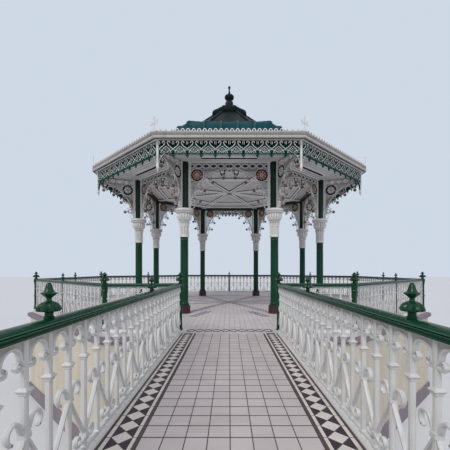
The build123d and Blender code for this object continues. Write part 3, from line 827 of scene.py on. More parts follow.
class Tone(Enum):
    """The finishes, each with its material slot in the record."""

    WHITE = ("white_iron", Paint("white_paint", (0.74, 0.73, 0.71), (0.34, 0.31, 0.27), 0.4, 0.4, 0.15))
    # A darker copy of the white paint: painted shade behind the capital's leaves and in the ceiling ribs'
    # channels, and painted shade and grime on the railings' corner webs.
    WEB = ("white_iron", Paint("shade_and_grime_white", (0.44, 0.42, 0.39), (0.2, 0.18, 0.15), 0.55, 0.7))
    NET = ("white_iron", Paint("shaded_net", (0.37, 0.355, 0.335), (0.17, 0.155, 0.13), 0.55, 0.7))
    # A brighter copy of the white paint: painted light on the hearts in the crown pendants.
    HEART = ("white_iron", Paint("heart_painted_light", (0.93, 0.92, 0.89), (0.6, 0.57, 0.52), 0.3, 0.4))
    GREEN = ("green_iron", Paint("green_paint", (0.002, 0.047, 0.019), (0.003, 0.016, 0.008),
        0.2, 0.5, 0.3, 0.12))
    # A bright teal copy of the green paint: painted highlight along the handrail's edges.
    EDGE = ("green_iron", Paint("green_painted_highlight", (0.014, 0.15, 0.098), (0.006, 0.06, 0.04),
        0.25, 0.4, 0.3, 0.3))
    # A darker copy of the green paint: painted shade on the upper posts under the ceiling.
    UPPER = ("green_iron", Paint("upper_green_painted_shade", (0.002, 0.022, 0.01), (0.002, 0.008, 0.005),
        0.25, 0.5, 0.25, 0.12))
    # Nearly black green on the ring beam: painted shade behind the castings' band of ovals.
    DEEP = ("green_iron", Paint("beam_green_painted_shade", (0.035, 0.045, 0.04), (0.015, 0.018, 0.016),
        0.4, 0.5, 0.05, 0.08))
    PLINTH = ("plinth_paint", Paint("maroon_paint", (0.065, 0.02, 0.028), (0.022, 0.01, 0.012),
        0.35, 0.6, 0.1, 0.2))
    FRET = ("fret_green", Paint("fret_green_paint", (0.003, 0.06, 0.046), (0.002, 0.02, 0.016),
        0.4, 0.5, 0.05, 0.08))
    # Near-black green: a strip of painted shade behind the fret's upper curls.
    FRET_GROUND = ("fret_green", Paint("fret_painted_shade", (0.001, 0.006, 0.004), (0.001, 0.003, 0.002),
        0.6, 0.5, 0.02, 0.04))
    # White strokes on the fret: partly its picked-out paint, partly a painted highlight.
    PICKED = ("fret_green", Paint("picked_out_and_highlight_white", (0.86, 0.86, 0.8), (0.46, 0.5, 0.44), 0.4, 0.4))
    GILT = ("white_iron", Paint("old_gold_paint", (0.24, 0.095, 0.022), (0.05, 0.02, 0.01),
        0.35, 0.6, 0.1, 0.2))
    BALL = ("white_iron", Paint("brown_ball_paint", (0.17, 0.112, 0.075), (0.06, 0.036, 0.024),
        0.35, 0.6, 0.1, 0.2))
    # Near-black paint that stands for shade: outlines round the castings, the rosettes' scalloped rings, the
    # soffit vents, the ceiling's quirks and its hub.
    SHADE = ("white_iron", Paint("painted_shade_black", (0.012, 0.009, 0.008), (0.006, 0.004, 0.004),
        0.6, 0.6, 0.02, 0.06))
    # A darker copy of the cornice white: painted shade on the cornice's face.
    FASCIA = ("cornice_paint", Paint("fascia_painted_shade_white", (0.43, 0.405, 0.39), (0.25, 0.225, 0.21),
        0.5, 0.6))
    QUIRK = ("cornice_paint", Paint("shadowed_quirk", (0.1, 0.092, 0.088), (0.05, 0.045, 0.042),
        0.5, 0.6, 0.0, 0.1))
    RAIL = ("white_iron", Paint("railing_white", (0.59, 0.59, 0.575), (0.3, 0.28, 0.25), 0.4, 0.5, 0.1))
    CORNICE = ("cornice_paint", Paint("cornice_white", (0.66, 0.65, 0.63), (0.32, 0.3, 0.28), 0.45, 0.5))
    RENDER = ("render", Stone("cream_render", (0.6, 0.54, 0.43), (0.36, 0.31, 0.25)))
    COPING = ("coping", Stone("grey_coping", (0.24, 0.2, 0.23), (0.13, 0.11, 0.12)))
    TILED = ("floor_tile", TiledFloor("platform_tiles", (0.69, 0.635, 0.62), (0.51, 0.465, 0.475),
        (0.25, 0.22, 0.23)))
    PALE = ("floor_tile", Glaze("pale_tile", (0.6, 0.535, 0.525), (0.46, 0.41, 0.415), 0.2125))
    CREAM = ("floor_tile", Glaze("cream_tile", (0.72, 0.67, 0.62), (0.56, 0.51, 0.48), 0.119))
    BROWN = ("floor_tile", Glaze("brown_tile", (0.09, 0.056, 0.052), (0.055, 0.036, 0.036)))
    PURPLE = ("floor_tile", Glaze("purple_tile", (0.038, 0.013, 0.03), (0.022, 0.009, 0.018)))
    NAVY = ("floor_tile", Glaze("navy_tile", (0.036, 0.032, 0.105), (0.022, 0.02, 0.055)))
    JOINT = ("floor_tile", Stone("tile_mortar", (0.085, 0.07, 0.078), (0.05, 0.042, 0.046), 0.001))
    BOARDS = ("boards", Boards("grey_boards", (0.79, 0.79, 0.78), (0.46, 0.46, 0.46), 0.15))
    TRIM = ("boards", Paint("grey_trim", (0.93, 0.93, 0.91), (0.48, 0.48, 0.47), 0.45, 0.4, 0.1))
    ROOF = ("roof_metal", SheetMetal("teal_roof", (0.004, 0.062, 0.08), (0.014, 0.11, 0.13),
        (0.002, 0.012, 0.017), 0.15))
    # A lighter teal with olive patches: painted highlight along the standing seams.
    SEAM = ("roof_metal", SheetMetal("seam_painted_highlight", (0.024, 0.085, 0.095), (0.11, 0.13, 0.09),
        (0.006, 0.022, 0.026), 0.22))
    # A near-black copy of the roof metal: painted shade on the upper sweep, on the hip rolls above the brow
    # and on the cap.
    SWEEP = ("roof_metal", SheetMetal("roof_painted_shade", (0.004, 0.012, 0.012), (0.016, 0.018, 0.014),
        (0.002, 0.003, 0.003), 0.06))
    BRONZE = ("finial_bronze", SheetMetal("bronze_finial", (0.012, 0.02, 0.016), (0.055, 0.026, 0.016),
        (0.004, 0.005, 0.004), 0.1))
    GIRDER = ("girder_paint", Paint("girder_green", (0.02, 0.075, 0.05), (0.05, 0.03, 0.02), 0.4, 0.7))

    def material(self) -> bpy.types.Material:
        """The finish's material, made at its first use."""
        finish = self.value[1]
        return bpy.data.materials.get(finish.name) or finish.material()


class Piece:
    """Puts finished shapes into the scene."""

    @staticmethod
    def show(name: str, shape: Shape, tones: Sequence[Tone], replaces: Sequence[str] = (),
            sharp: float = 32.0, base: float = DECK) -> None:
        """Makes an object that rides on the part.

        Args:
            name: the piece's name.
            shape: its mesh, with heights over the base.
            tones: its finishes, by finish number.
            replaces: the CAD nodes that it stands for.
            sharp: the angle in degrees over which an edge stays crisp.
            base: the level that its heights start from.
        """
        mesh = bpy.data.meshes.new(name)
        mesh.vertices.add(len(shape.points))
        mesh.vertices.foreach_set("co", (shape.points + (0.0, 0.0, base)).astype(np.float32).ravel())
        mesh.loops.add(len(shape.corners))
        mesh.loops.foreach_set("vertex_index", shape.corners.astype(np.int32))
        mesh.polygons.add(len(shape.sizes))
        mesh.polygons.foreach_set("loop_start", (np.cumsum(shape.sizes) - shape.sizes).astype(np.int32))
        mesh.polygons.foreach_set("material_index", shape.tones.astype(np.int32))
        mesh.update(calc_edges=True)
        mesh.shade_smooth()
        mesh.set_sharp_from_angle(angle=math.radians(sharp))
        for tone in tones:
            mesh.materials.append(tone.material())
        made = bpy.data.objects.new(name, mesh)
        bpy.context.scene.collection.objects.link(made)
        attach(made, "root")
        if replaces:
            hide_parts(*replaces)
        log.info("%s: %d triangles", name, int((shape.sizes - 2).sum()))

    @staticmethod
    def dress(node: str, tone: Tone) -> None:
        """Gives a CAD node its finish.

        Args:
            node: the node's name.
            tone: its finish.
        """
        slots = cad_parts[node].data.materials
        slots.clear()
        slots.append(tone.material())
        log.info("%s: dressed", node)


@dataclass
class Podium:
    """The rendered podium, its coping and the tiled platform with its inlaid bands."""

    column_ring: float = COLUMN_RING
    inlay: float = 0.0012
    hub_ring: float = 0.15
    gate_length: float = 2.28
    gate_swing: float = 0.195
    gate_line: float = -7.49

    def chain(self, length: float, pitch: float = 0.228, swing: float = 0.15) -> Shape:
        """A chain of oval links, inlaid along +X from the origin.

        Args:
            length: how far the band runs.
            pitch: length of one link.
            swing: half the width of a link.

        Returns:
            The band.
        """
        band = Shape()
        links = max(1, round(length / pitch))
        half = length / links / 2
        for link in range(links):
            middle = ((2 * link + 1) * half, 0.0)
            hole = hoop(half * 0.78, 16, middle, swing * 0.54 / (half * 0.78))
            band += plate(hoop(half, 16, middle, swing / half), [hole], self.inlay)
        return band.placed(spin(-math.pi / 2, "X"))

    def bands(self) -> Shape:
        """The inlaid bands: from the hub to each column, between columns, and over the threshold.

        Returns:
            The bands.
        """
        made = Shape()
        spoke = self.chain(self.column_ring - self.hub_ring - 0.3)
        made += [spoke.placed(place) for place in around(self.hub_ring)]
        side = 2 * (self.column_ring * HALF_SIN - 0.32)
        along = self.chain(side)
        made += [along.placed(turn @ shift(-side / 2, -self.column_ring * HALF_COS)) for turn in TURNS[1:]]
        gate = self.chain(self.gate_length, swing=self.gate_swing)
        made += gate.placed(shift(-self.gate_length / 2, self.gate_line))
        for way in (-1, 1):
            start, end = Vector((way * 1.29, -4.96)), Vector((way * 0.78, -3.56))
            line = end - start
            turn = math.atan2(line.y, line.x)
            made += self.chain(line.length).placed(shift(start.x, start.y) @ spin(turn))
        return made

    def build(self) -> None:
        """Dresses the podium's nodes and lays the bands."""
        dresses = {"podium_base_course": Tone.COPING, "podium_wall": Tone.RENDER,
            "podium_coping": Tone.COPING, "platform_floor": Tone.TILED, "bridge_abutment": Tone.RENDER}
        for node, tone in dresses.items():
            Piece.dress(node, tone)
        Piece.show("platform_bands", self.bands(), [Tone.NAVY])
        disc = [(self.hub_ring, -0.002), (self.hub_ring, 0.001), (0.02, 0.0014)]
        hub = turned(disc, SIDES, start=HALF_TURN)
        Piece.show("platform_hub", hub, [Tone.NAVY])


@dataclass
class Bridge:
    """The bridge deck of pressed tiles between patterned borders, on its girders."""

    tile_size: float = 0.2125
    tile_length: float = 0.2268
    joint: float = 0.008
    cross_joint: float = 0.018
    sunk: float = 0.0016
    thickness: float = 0.02
    strips: tuple = ((0.852, 0.888, 1), (0.891, 0.926, 2), (1.142, 1.182, 2), (1.185, 1.217, 1))
    border: Flat = (0.929, 1.139)
    margin: float = 1.219
    stiffener_count: int = 11
    rivet_count: int = 60

    def deck(self) -> Shape:
        """The tiles and the bed that they lie on.

        Returns:
            The deck.
        """
        low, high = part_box("bridge_deck")
        made = block(low, (high.x, high.y, high.z - self.sunk), tone=4)
        size, gap, cross = self.tile_size, self.joint / 2, self.cross_joint / 2
        long = self.tile_length
        rows = math.ceil((high.y - low.y) / long)
        tiles = []
        for row in range(rows):
            start = high.y - row * long
            end = max(start - long, low.y)
            for column in range(-4, 4):
                x = column * size
                outline = oblong((x + gap, end + cross), (x + size - gap, start - cross))
                tiles.append(tile(outline, high.z, self.thickness))
            for inner, outer, tone in self.strips:
                for way in (-1, 1):
                    edges = sorted((way * inner, way * outer))
                    outline = oblong((edges[0], end + gap), (edges[1], start - gap))
                    tiles.append(tile(outline, high.z, self.thickness, tone=tone))
        tiles += self.diamonds(low.y, high.y, high.z)
        for way in (-1, 1):
            edges = sorted((way * self.margin, way * high.x))
            tiles.append(tile(oblong((edges[0], low.y), (edges[1], high.y)), high.z, self.thickness, tone=2))
        return made.join(tiles)

    def diamonds(self, start: float, end: float, top: float) -> list[Shape]:
        """The border of pale diamonds set in dark triangles.

        Args:
            start: where the border starts along Y.
            end: where it ends.
            top: height of its surface.

        Returns:
            The tiles.
        """
        inner, outer = self.border
        middle, half = (inner + outer) / 2, (outer - inner) / 2
        gap, pitch = self.joint / 2, self.tile_length
        count = math.floor((end - start) / pitch - 0.5)
        made = []
        for way in (-1, 1):
            for foot, head in ((start, end - (count + 0.5) * pitch), (end - pitch / 2, end)):
                left, right = way * middle - half, way * middle + half
                made.append(tile(oblong((left, foot), (right, head)), top, self.thickness, tone=3))
            for number in range(1, count + 1):
                y = end - number * pitch
                reach, run = half - gap, pitch / 2 - gap
                corners = [(way * (middle - reach), y), (way * middle, y - run), (way * (middle + reach), y),
                    (way * middle, y + run)]
                made.append(tile(corners, top, self.thickness, tone=2))
                for side in (-1, 1):
                    tip = way * (middle + side * half)
                    root = way * (middle + side * gap * 3)
                    for up in (-1, 1):
                        edge = y + up * pitch / 2
                        base = edge - up * gap * 0.2
                        corners = [(tip, base), (root, base), (tip, y + up * gap * 3)]
                        made.append(tile(corners, top, self.thickness, tone=3))
        return made

    def stiffeners(self) -> Shape:
        """The girders' web stiffeners and the rows of rivets along their flanges.

        Returns:
            The plates and rivets.
        """
        low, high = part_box("bridge_girders")
        line = high.x - 0.09
        rivet = turned(mm((14, 0), (12, 6), (6, 9.5)), 8)
        places, plates = [], Shape()
        for way in (-1, 1):
            for side in (-1, 1):
                face = way * line + side * 0.01
                for number in range(1, self.stiffener_count + 1):
                    y = low.y + number * (high.y - low.y) / (self.stiffener_count + 1)
                    edges = sorted((face, face + side * 0.065))
                    plates += block((edges[0], y - 0.006, low.z + 0.02),
                        (edges[1], y + 0.006, high.z - 0.02))
                for number in range(self.rivet_count):
                    y = low.y + 0.12 + number * (high.y - low.y - 0.24) / (self.rivet_count - 1)
                    places.append(shift(way * line + side * 0.055, y, low.z + 0.02))
        return plates.join([rivet.repeated(places)])

    def build(self) -> None:
        """Lays the deck and dresses the steelwork."""
        tones = [Tone.PALE, Tone.BROWN, Tone.CREAM, Tone.PURPLE, Tone.JOINT]
        Piece.show("bridge_deck_tiles", self.deck(), tones, ["bridge_deck"], base=0.0)
        Piece.dress("bridge_girders", Tone.GIRDER)
        Piece.dress("bridge_cross_beams", Tone.GIRDER)
        Piece.show("girder_stiffeners", self.stiffeners(), [Tone.GIRDER], base=0.0)


@dataclass
class Railings:
    """Cast railings with crossing straps, their kerbs, posts, handrails and finials."""

    line: float = 7.744
    bridge_line: float = 1.262
    first_bay: float = 3.001
    bay: float = 2.905
    windows: int = 11
    pitch: float = 0.266
    bar: float = 0.042
    kerb: float = 0.06
    top: float = 1.18
    rail_top: float = 1.264
    corner_post: float = 0.08
    slim_post: float = 0.042
    junction_post: float = 0.054
    arch_spring: float = 1.062
    arch_half: float = 0.088
    arch_rise: float = 0.077
    collar_height: float = 0.86
    crossing: float = 0.59
    foot: float = 0.185
    strap: float = 0.028
    thickness: float = 0.036
    posts: list[float] = field(default_factory=list)

    def __post_init__(self) -> None:
        """Works out where the bridge's posts stand."""
        self.posts = [self.line + self.first_bay + number * self.bay for number in range(3)]

    def baluster(self) -> Shape:
        """A chamfered square bar with a flared collar.

        Returns:
            The bar, at the origin.
        """
        half, cut = self.bar / 2, 0.009
        outline = [(half, -half + cut), (half, half - cut), (half - cut, half), (cut - half, half),
            (-half, half - cut), (-half, cut - half), (cut - half, -half), (half - cut, -half)]
        points = [(x, y, z) for z in (self.kerb, self.top) for x, y in outline]
        root, middle = math.sqrt(2), self.collar_height
        collar = [(0.021, middle - 0.03), (0.026, middle - 0.024), (0.026, middle - 0.016), (0.038, middle),
            (0.038, middle + 0.005), (0.021, middle + 0.022)]
        foot = [(0.031, self.kerb), (0.031, self.kerb + 0.022), (0.021, self.kerb + 0.034)]
        rings = [turned([(r * root, z) for r, z in levels], 4, start=math.pi / 4)
            for levels in (collar, foot)]
        return Shape().add(points, skin(2, len(outline))).join(rings)

    def bead(self, x: float, z: float, radius: float) -> Shape:
        """The round end of a strap.

        Args:
            x: its place along the panel.
            z: its height.
            radius: its size.

        Returns:
            The bead.
        """
        half = self.thickness * 0.5
        ball = turned([(radius * 0.6, -half), (radius * 1.05, 0.0), (radius * 0.6, half)], 8)
        return ball.placed(shift(x, 0, z) @ spin(math.pi / 2, "X"))

    def arch(self, pitch: float) -> Shape:
        """One horseshoe arch between two balusters, whose legs cross them and curl up beyond.

        Args:
            pitch: distance between the balusters.

        Returns:
            The arch with its corner webs, from the baluster at the origin to the next.
        """
        middle, half, rise = pitch / 2, self.arch_half, self.arch_rise
        crown = arc((middle, self.arch_spring), half, 0, 180, 10, rise / half)
        edge = middle + half
        leg = bend((edge, self.arch_spring), (edge, 1.034), (pitch - 0.01, 1.022), (pitch + 0.004, 1.014), 3)
        leg += bend(leg[-1], (pitch + 0.018, 1.006), (pitch + 0.038, 1.0), (pitch + 0.06, 0.998), 2)[1:]
        curl = spiral((pitch + 0.067, 1.022), 0.025, 0.02, -98, 88, 4)
        right = leg[1:] + curl
        left = [(pitch - x, z) for x, z in reversed(right)]
        made = strap(left + list(reversed(crown)) + right, self.strap, self.thickness, tip=0.75, root=0.75)
        made += [self.bead(x, curl[-1][1], 0.0135) for x in (curl[-1][0], pitch - curl[-1][0])]
        # The corner webs take the darker grey-white: painted shade and grime behind the arches.
        for way in (-1, 1):
            curve = arc((middle, self.arch_spring), half, 90, 0, 5, rise / half)
            side = pitch / 2 - 0.012
            top = self.top - 0.006
            web = [(middle, top), *curve, (middle + side, self.arch_spring - 0.034), (middle + side, top)]
            made += plate([(middle + way * (x - middle), z) for x, z in web], [], 0.005, 1)
        beam = [(x, self.top - 0.008) for x in (self.bar / 2, pitch - self.bar / 2)]
        return made.join([strap(beam, 0.016, 0.036)])

    def scroll(self, pitch: float) -> Shape:
        """The long strap from a ram's horn, over its baluster, down to the foot of the one before.

        Args:
            pitch: distance between the balusters.

        Returns:
            The strap, for the horned baluster at the origin, horn to the right.
        """
        horn = arc((0.106, 0.642), 0.056, -62, 172, 9)
        neck = bend(horn[-1], (0.046, 0.612), (0.018, 0.612), (0.0, self.crossing), 3)
        low = (0.022 - pitch, self.foot + 0.03)
        curl = spiral((-pitch - 0.118, 0.186), 0.052, 0.022, -70, -350, 9)
        tail = bend(low, (0.004 - pitch, self.foot - 0.01), (-0.04 - pitch, 0.132), curl[0], 3)
        path = horn + neck[1:] + tail + curl[1:]
        made = strap(path, self.strap, self.thickness, tip=0.8, root=0.85)
        return made.join([self.bead(*horn[0], 0.016), self.bead(*curl[-1], 0.015)])

    def collar(self, height: float) -> Shape:
        """The small block cast over a crossing."""
        return block((-0.028, -0.03, height - 0.02), (0.028, 0.03, height + 0.02), 0.006)

    def run(self, places: Sequence[float], low: float, high: float) -> Shape:
        """A run of castings along X.

        Args:
            places: where its balusters stand, with the centre line of any post that closes it.
            low: face of whatever closes it at the start.
            high: the same at its end.

        Returns:
            The run, on the deck.
        """
        bars = [place for place in places if low <= place <= high]
        made = self.baluster().repeated([shift(place) for place in bars])
        bolt = turned(mm((13, 0), (8, 10)), 6)
        pieces = []
        for index, (here, there) in enumerate(zip(places, places[1:])):
            pitch = there - here
            pieces.append(self.clipped(self.arch(pitch).placed(shift(here)), low, high))
            for way in (STAY, MIRROR_X):
                horned = there if way == MIRROR_X else here
                if (index + (way == MIRROR_X)) % 2 and horned < places[-1]:
                    pieces.append(self.clipped(self.scroll(pitch).placed(shift(horned) @ way), low, high))
            pieces += [bolt.placed(shift((here + there) / 2, way * 0.034, self.kerb - 0.01))
                for way in (-1, 1)]
        for index, place in enumerate(places):
            if low < place < high:
                pieces.append(self.collar(self.crossing if index % 2 else self.foot).placed(shift(place)))
        rail = block((low, -0.021, self.kerb), (high, 0.021, self.kerb + 0.026), 0.006)
        return made.join([rail, *pieces])

    @staticmethod
    def clipped(shape: Shape, low: float, high: float) -> Shape:
        """Presses what passes the end of a run back to its face.

        Args:
            shape: what is pressed back.
            low: the first face.
            high: the last face.

        Returns:
            The pressed copy.
        """
        copy = shape.placed(STAY)
        copy.points[:, 0] = np.clip(copy.points[:, 0], low, high)
        return copy

    def panel(self, length: float) -> Shape:
        """A platform panel centred on its length, with a baluster against each of its posts.

        Args:
            length: clear length between the posts.

        Returns:
            The panel.
        """
        count = round(length / self.pitch)
        half = (length - self.bar) / 2
        places = [half * (2 * number / count - 1) for number in range(count + 1)]
        return self.run(places, -length / 2, length / 2)

    def panels(self) -> tuple[Shape, Shape]:
        """The platform's panels and the bridge's runs.

        Returns:
            The platform's castings and the bridge's castings.
        """
        half_side = self.line * HALF_TAN
        length = half_side - self.corner_post - self.slim_post
        middle = self.slim_post + length / 2
        sides = [place @ shift(0, way * middle) @ spin(math.pi / 2)
            for place in around(self.line, SIDES, -math.pi / 4, 1) for way in (-1, 1)]
        platform = self.panel(length).repeated(sides)
        front_length = half_side - self.bridge_line - self.corner_post - self.junction_post
        front = self.panel(front_length)
        offset = self.bridge_line + self.junction_post + front_length / 2
        platform += [front.placed(shift(way * offset, -self.line)) for way in (-1, 1)]
        starts = [0.0, *[post - self.line for post in self.posts]]
        places = [near + (far - near) * number / self.windows for near, far in zip(starts, starts[1:])
            for number in range(self.windows)]
        run = self.run([*places, starts[-1]], self.junction_post, starts[-1] + self.bar / 2)
        rows = [shift(way * self.bridge_line, -self.line) @ spin(-math.pi / 2) for way in (-1, 1)]
        return platform, run.repeated(rows)

    def rail_section(self) -> list[Flat]:
        """The handrail's section: a fillet, a groove, a bead and a rounded cap, from its foot.

        Returns:
            The section.
        """
        foot, top = self.top, self.rail_top
        right = [(0.049, foot), (0.05, foot + 0.014), (0.041, foot + 0.019), (0.041, foot + 0.025),
            (0.047, foot + 0.029), (0.047, foot + 0.037), (0.04, foot + 0.041), (0.04, foot + 0.046),
            (0.054, foot + 0.052)]
        right += arc((0.0, top - 0.034), 0.055, 10, 90, 5, 0.034 / 0.055)
        return mirrored(right, shared=1)

    def rail_highlights(self) -> list[list[Flat]]:
        """The handrail's painted highlights: bright strips under the cap and on the bead.

        Returns:
            Their sections, on each side.
        """
        rows = ((0.0526, 0.057, 0.049, 0.0552), (0.046, 0.0488, 0.0312, 0.0346))
        edges = []
        for near, far, low, high in rows:
            edges += [oblong((way * near, self.top + low), (way * far, self.top + high)) for way in (-1, 1)]
        return edges

    def kerb_section(self) -> list[Flat]:
        """The kerb's sloping section."""
        return [(-0.05, 0.0), (0.05, 0.0), (0.05, 0.022), (0.028, self.kerb), (-0.028, self.kerb),
            (-0.05, 0.022)]

    def runs(self, section: list[Flat], start: float) -> tuple[Shape, Shape]:
        """The runs of one section round the platform and along the bridge.

        Args:
            section: the moulding's section.
            start: where the bridge's runs start, from the axis.

        Returns:
            The platform's runs and the bridge's runs.
        """
        ring = octagon(self.line / HALF_COS)
        gap = self.bridge_line - 0.054
        path = [(gap, -self.line), *[ring[(6 + number) % SIDES] for number in range(SIDES)],
            (-gap, -self.line)]
        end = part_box("bridge_kerbs")[0].y
        sides = [way * self.bridge_line for way in (-1, 1)]
        along = Shape().join([moulding([(x, -start), (x, end)], section) for x in sides])
        return moulding(path, section), along

    def post(self, radius: float, lobes: int) -> Shape:
        """A turned post with rings, fluted where it has lobes.

        Args:
            radius: radius of its shaft.
            lobes: how many flutes it has, 0 for none.

        Returns:
            The post.
        """
        low, high = self.kerb, self.top
        tall = high - low
        rings = [(1.12, 0.0), (1.12, 0.042), (0.92, 0.055), (1.0, 0.075), (0.92, 0.092), (0.86, 0.11, 0.14),
            (0.86, 0.43, 0.14), (1.0, 0.45), (1.07, 0.465), (1.0, 0.48), (0.86, 0.5, 0.14),
            (0.8, 0.86, 0.14), (0.94, 0.88), (1.02, 0.9), (0.86, 0.925), (1.1, 0.965), (1.1, 1.0)]
        levels = [(radius * level[0], low + tall * level[1], *(level[2:] if lobes else ()))
            for level in rings]
        return turned(levels, 32 if lobes else 16, lobes)

    def rail_collar(self, radius: float) -> Shape:
        """The collar round the handrail over a great post.

        Args:
            radius: its greatest radius.

        Returns:
            The collar, at its height over the deck.
        """
        middle = (self.top + self.rail_top) / 2
        return turned([(radius * 0.85, self.top - 0.012), (radius, self.top), (radius, self.top + 0.018),
            (radius * 0.9, self.top + 0.026), (radius * 0.9, middle + 0.012), (radius, middle + 0.022),
            (radius, self.rail_top - 0.004), (radius * 0.7, self.rail_top + 0.008)], 24)

    def finial(self) -> Shape:
        """A gadrooned dome with a flared bud above it.

        Returns:
            The finial, standing at the origin.
        """
        levels = mm((36, 0), (38, 6), (34, 12), (29, 16), (28, 38), (36, 43), (60, 46, 0.1), (77, 50, 0.2),
            (84, 58, 0.24), (83, 66, 0.24), (77, 79, 0.24), (66, 95, 0.22), (50, 108, 0.2), (30, 116, 0.12),
            (20, 120), (17, 127), (17, 138), (28, 149, 0.05), (43, 160, 0.06), (55, 170, 0.08),
            (54, 175, 0.08), (36, 182), (28, 197), (23, 214), (19, 231), (12, 242), (4, 247))
        return turned(levels, 32, 8)

    def great_finial(self) -> Shape:
        """The broad finial over a corner of the platform.

        Returns:
            The finial, standing at the origin.
        """
        levels = mm((54, 0), (56, 8), (44, 16), (41, 50), (52, 56), (90, 58, 0.16), (114, 66, 0.3),
            (122, 80, 0.34), (119, 94, 0.34), (106, 118, 0.34), (87, 138, 0.32), (60, 152, 0.24), (34, 160),
            (24, 166), (32, 170), (32, 176), (24, 180), (40, 194, 0.1), (62, 208, 0.16), (72, 217, 0.18),
            (68, 224, 0.16), (48, 232, 0.1), (38, 246, 0.14), (31, 260, 0.14), (22, 273, 0.1), (8, 282))
        return turned(levels, 48, 8)

    def build(self) -> None:
        """Makes every railing piece."""
        tones = [Tone.RAIL, Tone.WEB]
        for name, shape in zip(("platform_railings", "bridge_railings"), self.panels()):
            replaced = [name] if name.startswith("platform") else [name, "bridge_posts"]
            Piece.show(f"{name}_cast", shape, tones, replaced)
        kerbs = self.runs(self.kerb_section(), self.line + 0.052)
        for name, shape in zip(("platform_kerbs", "bridge_kerbs"), kerbs):
            Piece.show(f"{name}_cast", shape, [Tone.WHITE], [name])
        rails = self.runs(self.rail_section(), self.line + 0.057)
        # The bright strips along the handrail paint its highlights.
        for section in self.rail_highlights():
            for rail, edge in zip(rails, self.runs(section, self.line + 0.057)):
                rail += edge.toned(1)
        for name, shape in zip(("platform_handrails", "bridge_handrails"), rails):
            Piece.show(f"{name}_moulded", shape, [Tone.GREEN, Tone.EDGE], [name])
        corners = around(self.line / HALF_COS)
        junctions = [shift(way * self.bridge_line, -self.line) for way in (-1, 1)]
        middles = around(self.line, SIDES, -math.pi / 4, 1)
        posts = self.post(self.corner_post, 12).repeated(corners)
        posts += [self.post(self.slim_post, 0).repeated(middles),
            self.post(self.junction_post, 0).repeated(junctions)]
        posts += [self.rail_collar(0.094).repeated(corners), self.rail_collar(0.076).repeated(junctions)]
        Piece.show("platform_posts_turned", posts, [Tone.GREEN], ["platform_posts"])
        tops = shift(z=self.rail_top)
        great = self.great_finial().repeated([tops @ place for place in corners + junctions])
        small = self.finial().repeated([tops @ place for place in middles])
        Piece.show("platform_finials_cast", great.join([small]), [Tone.GREEN], ["platform_finials"])
        bridge = [tops @ shift(way * self.bridge_line, -place) for place in self.posts for way in (-1, 1)]
        Piece.show("bridge_finials_cast", self.finial().repeated(bridge), [Tone.GREEN], ["bridge_finials"])


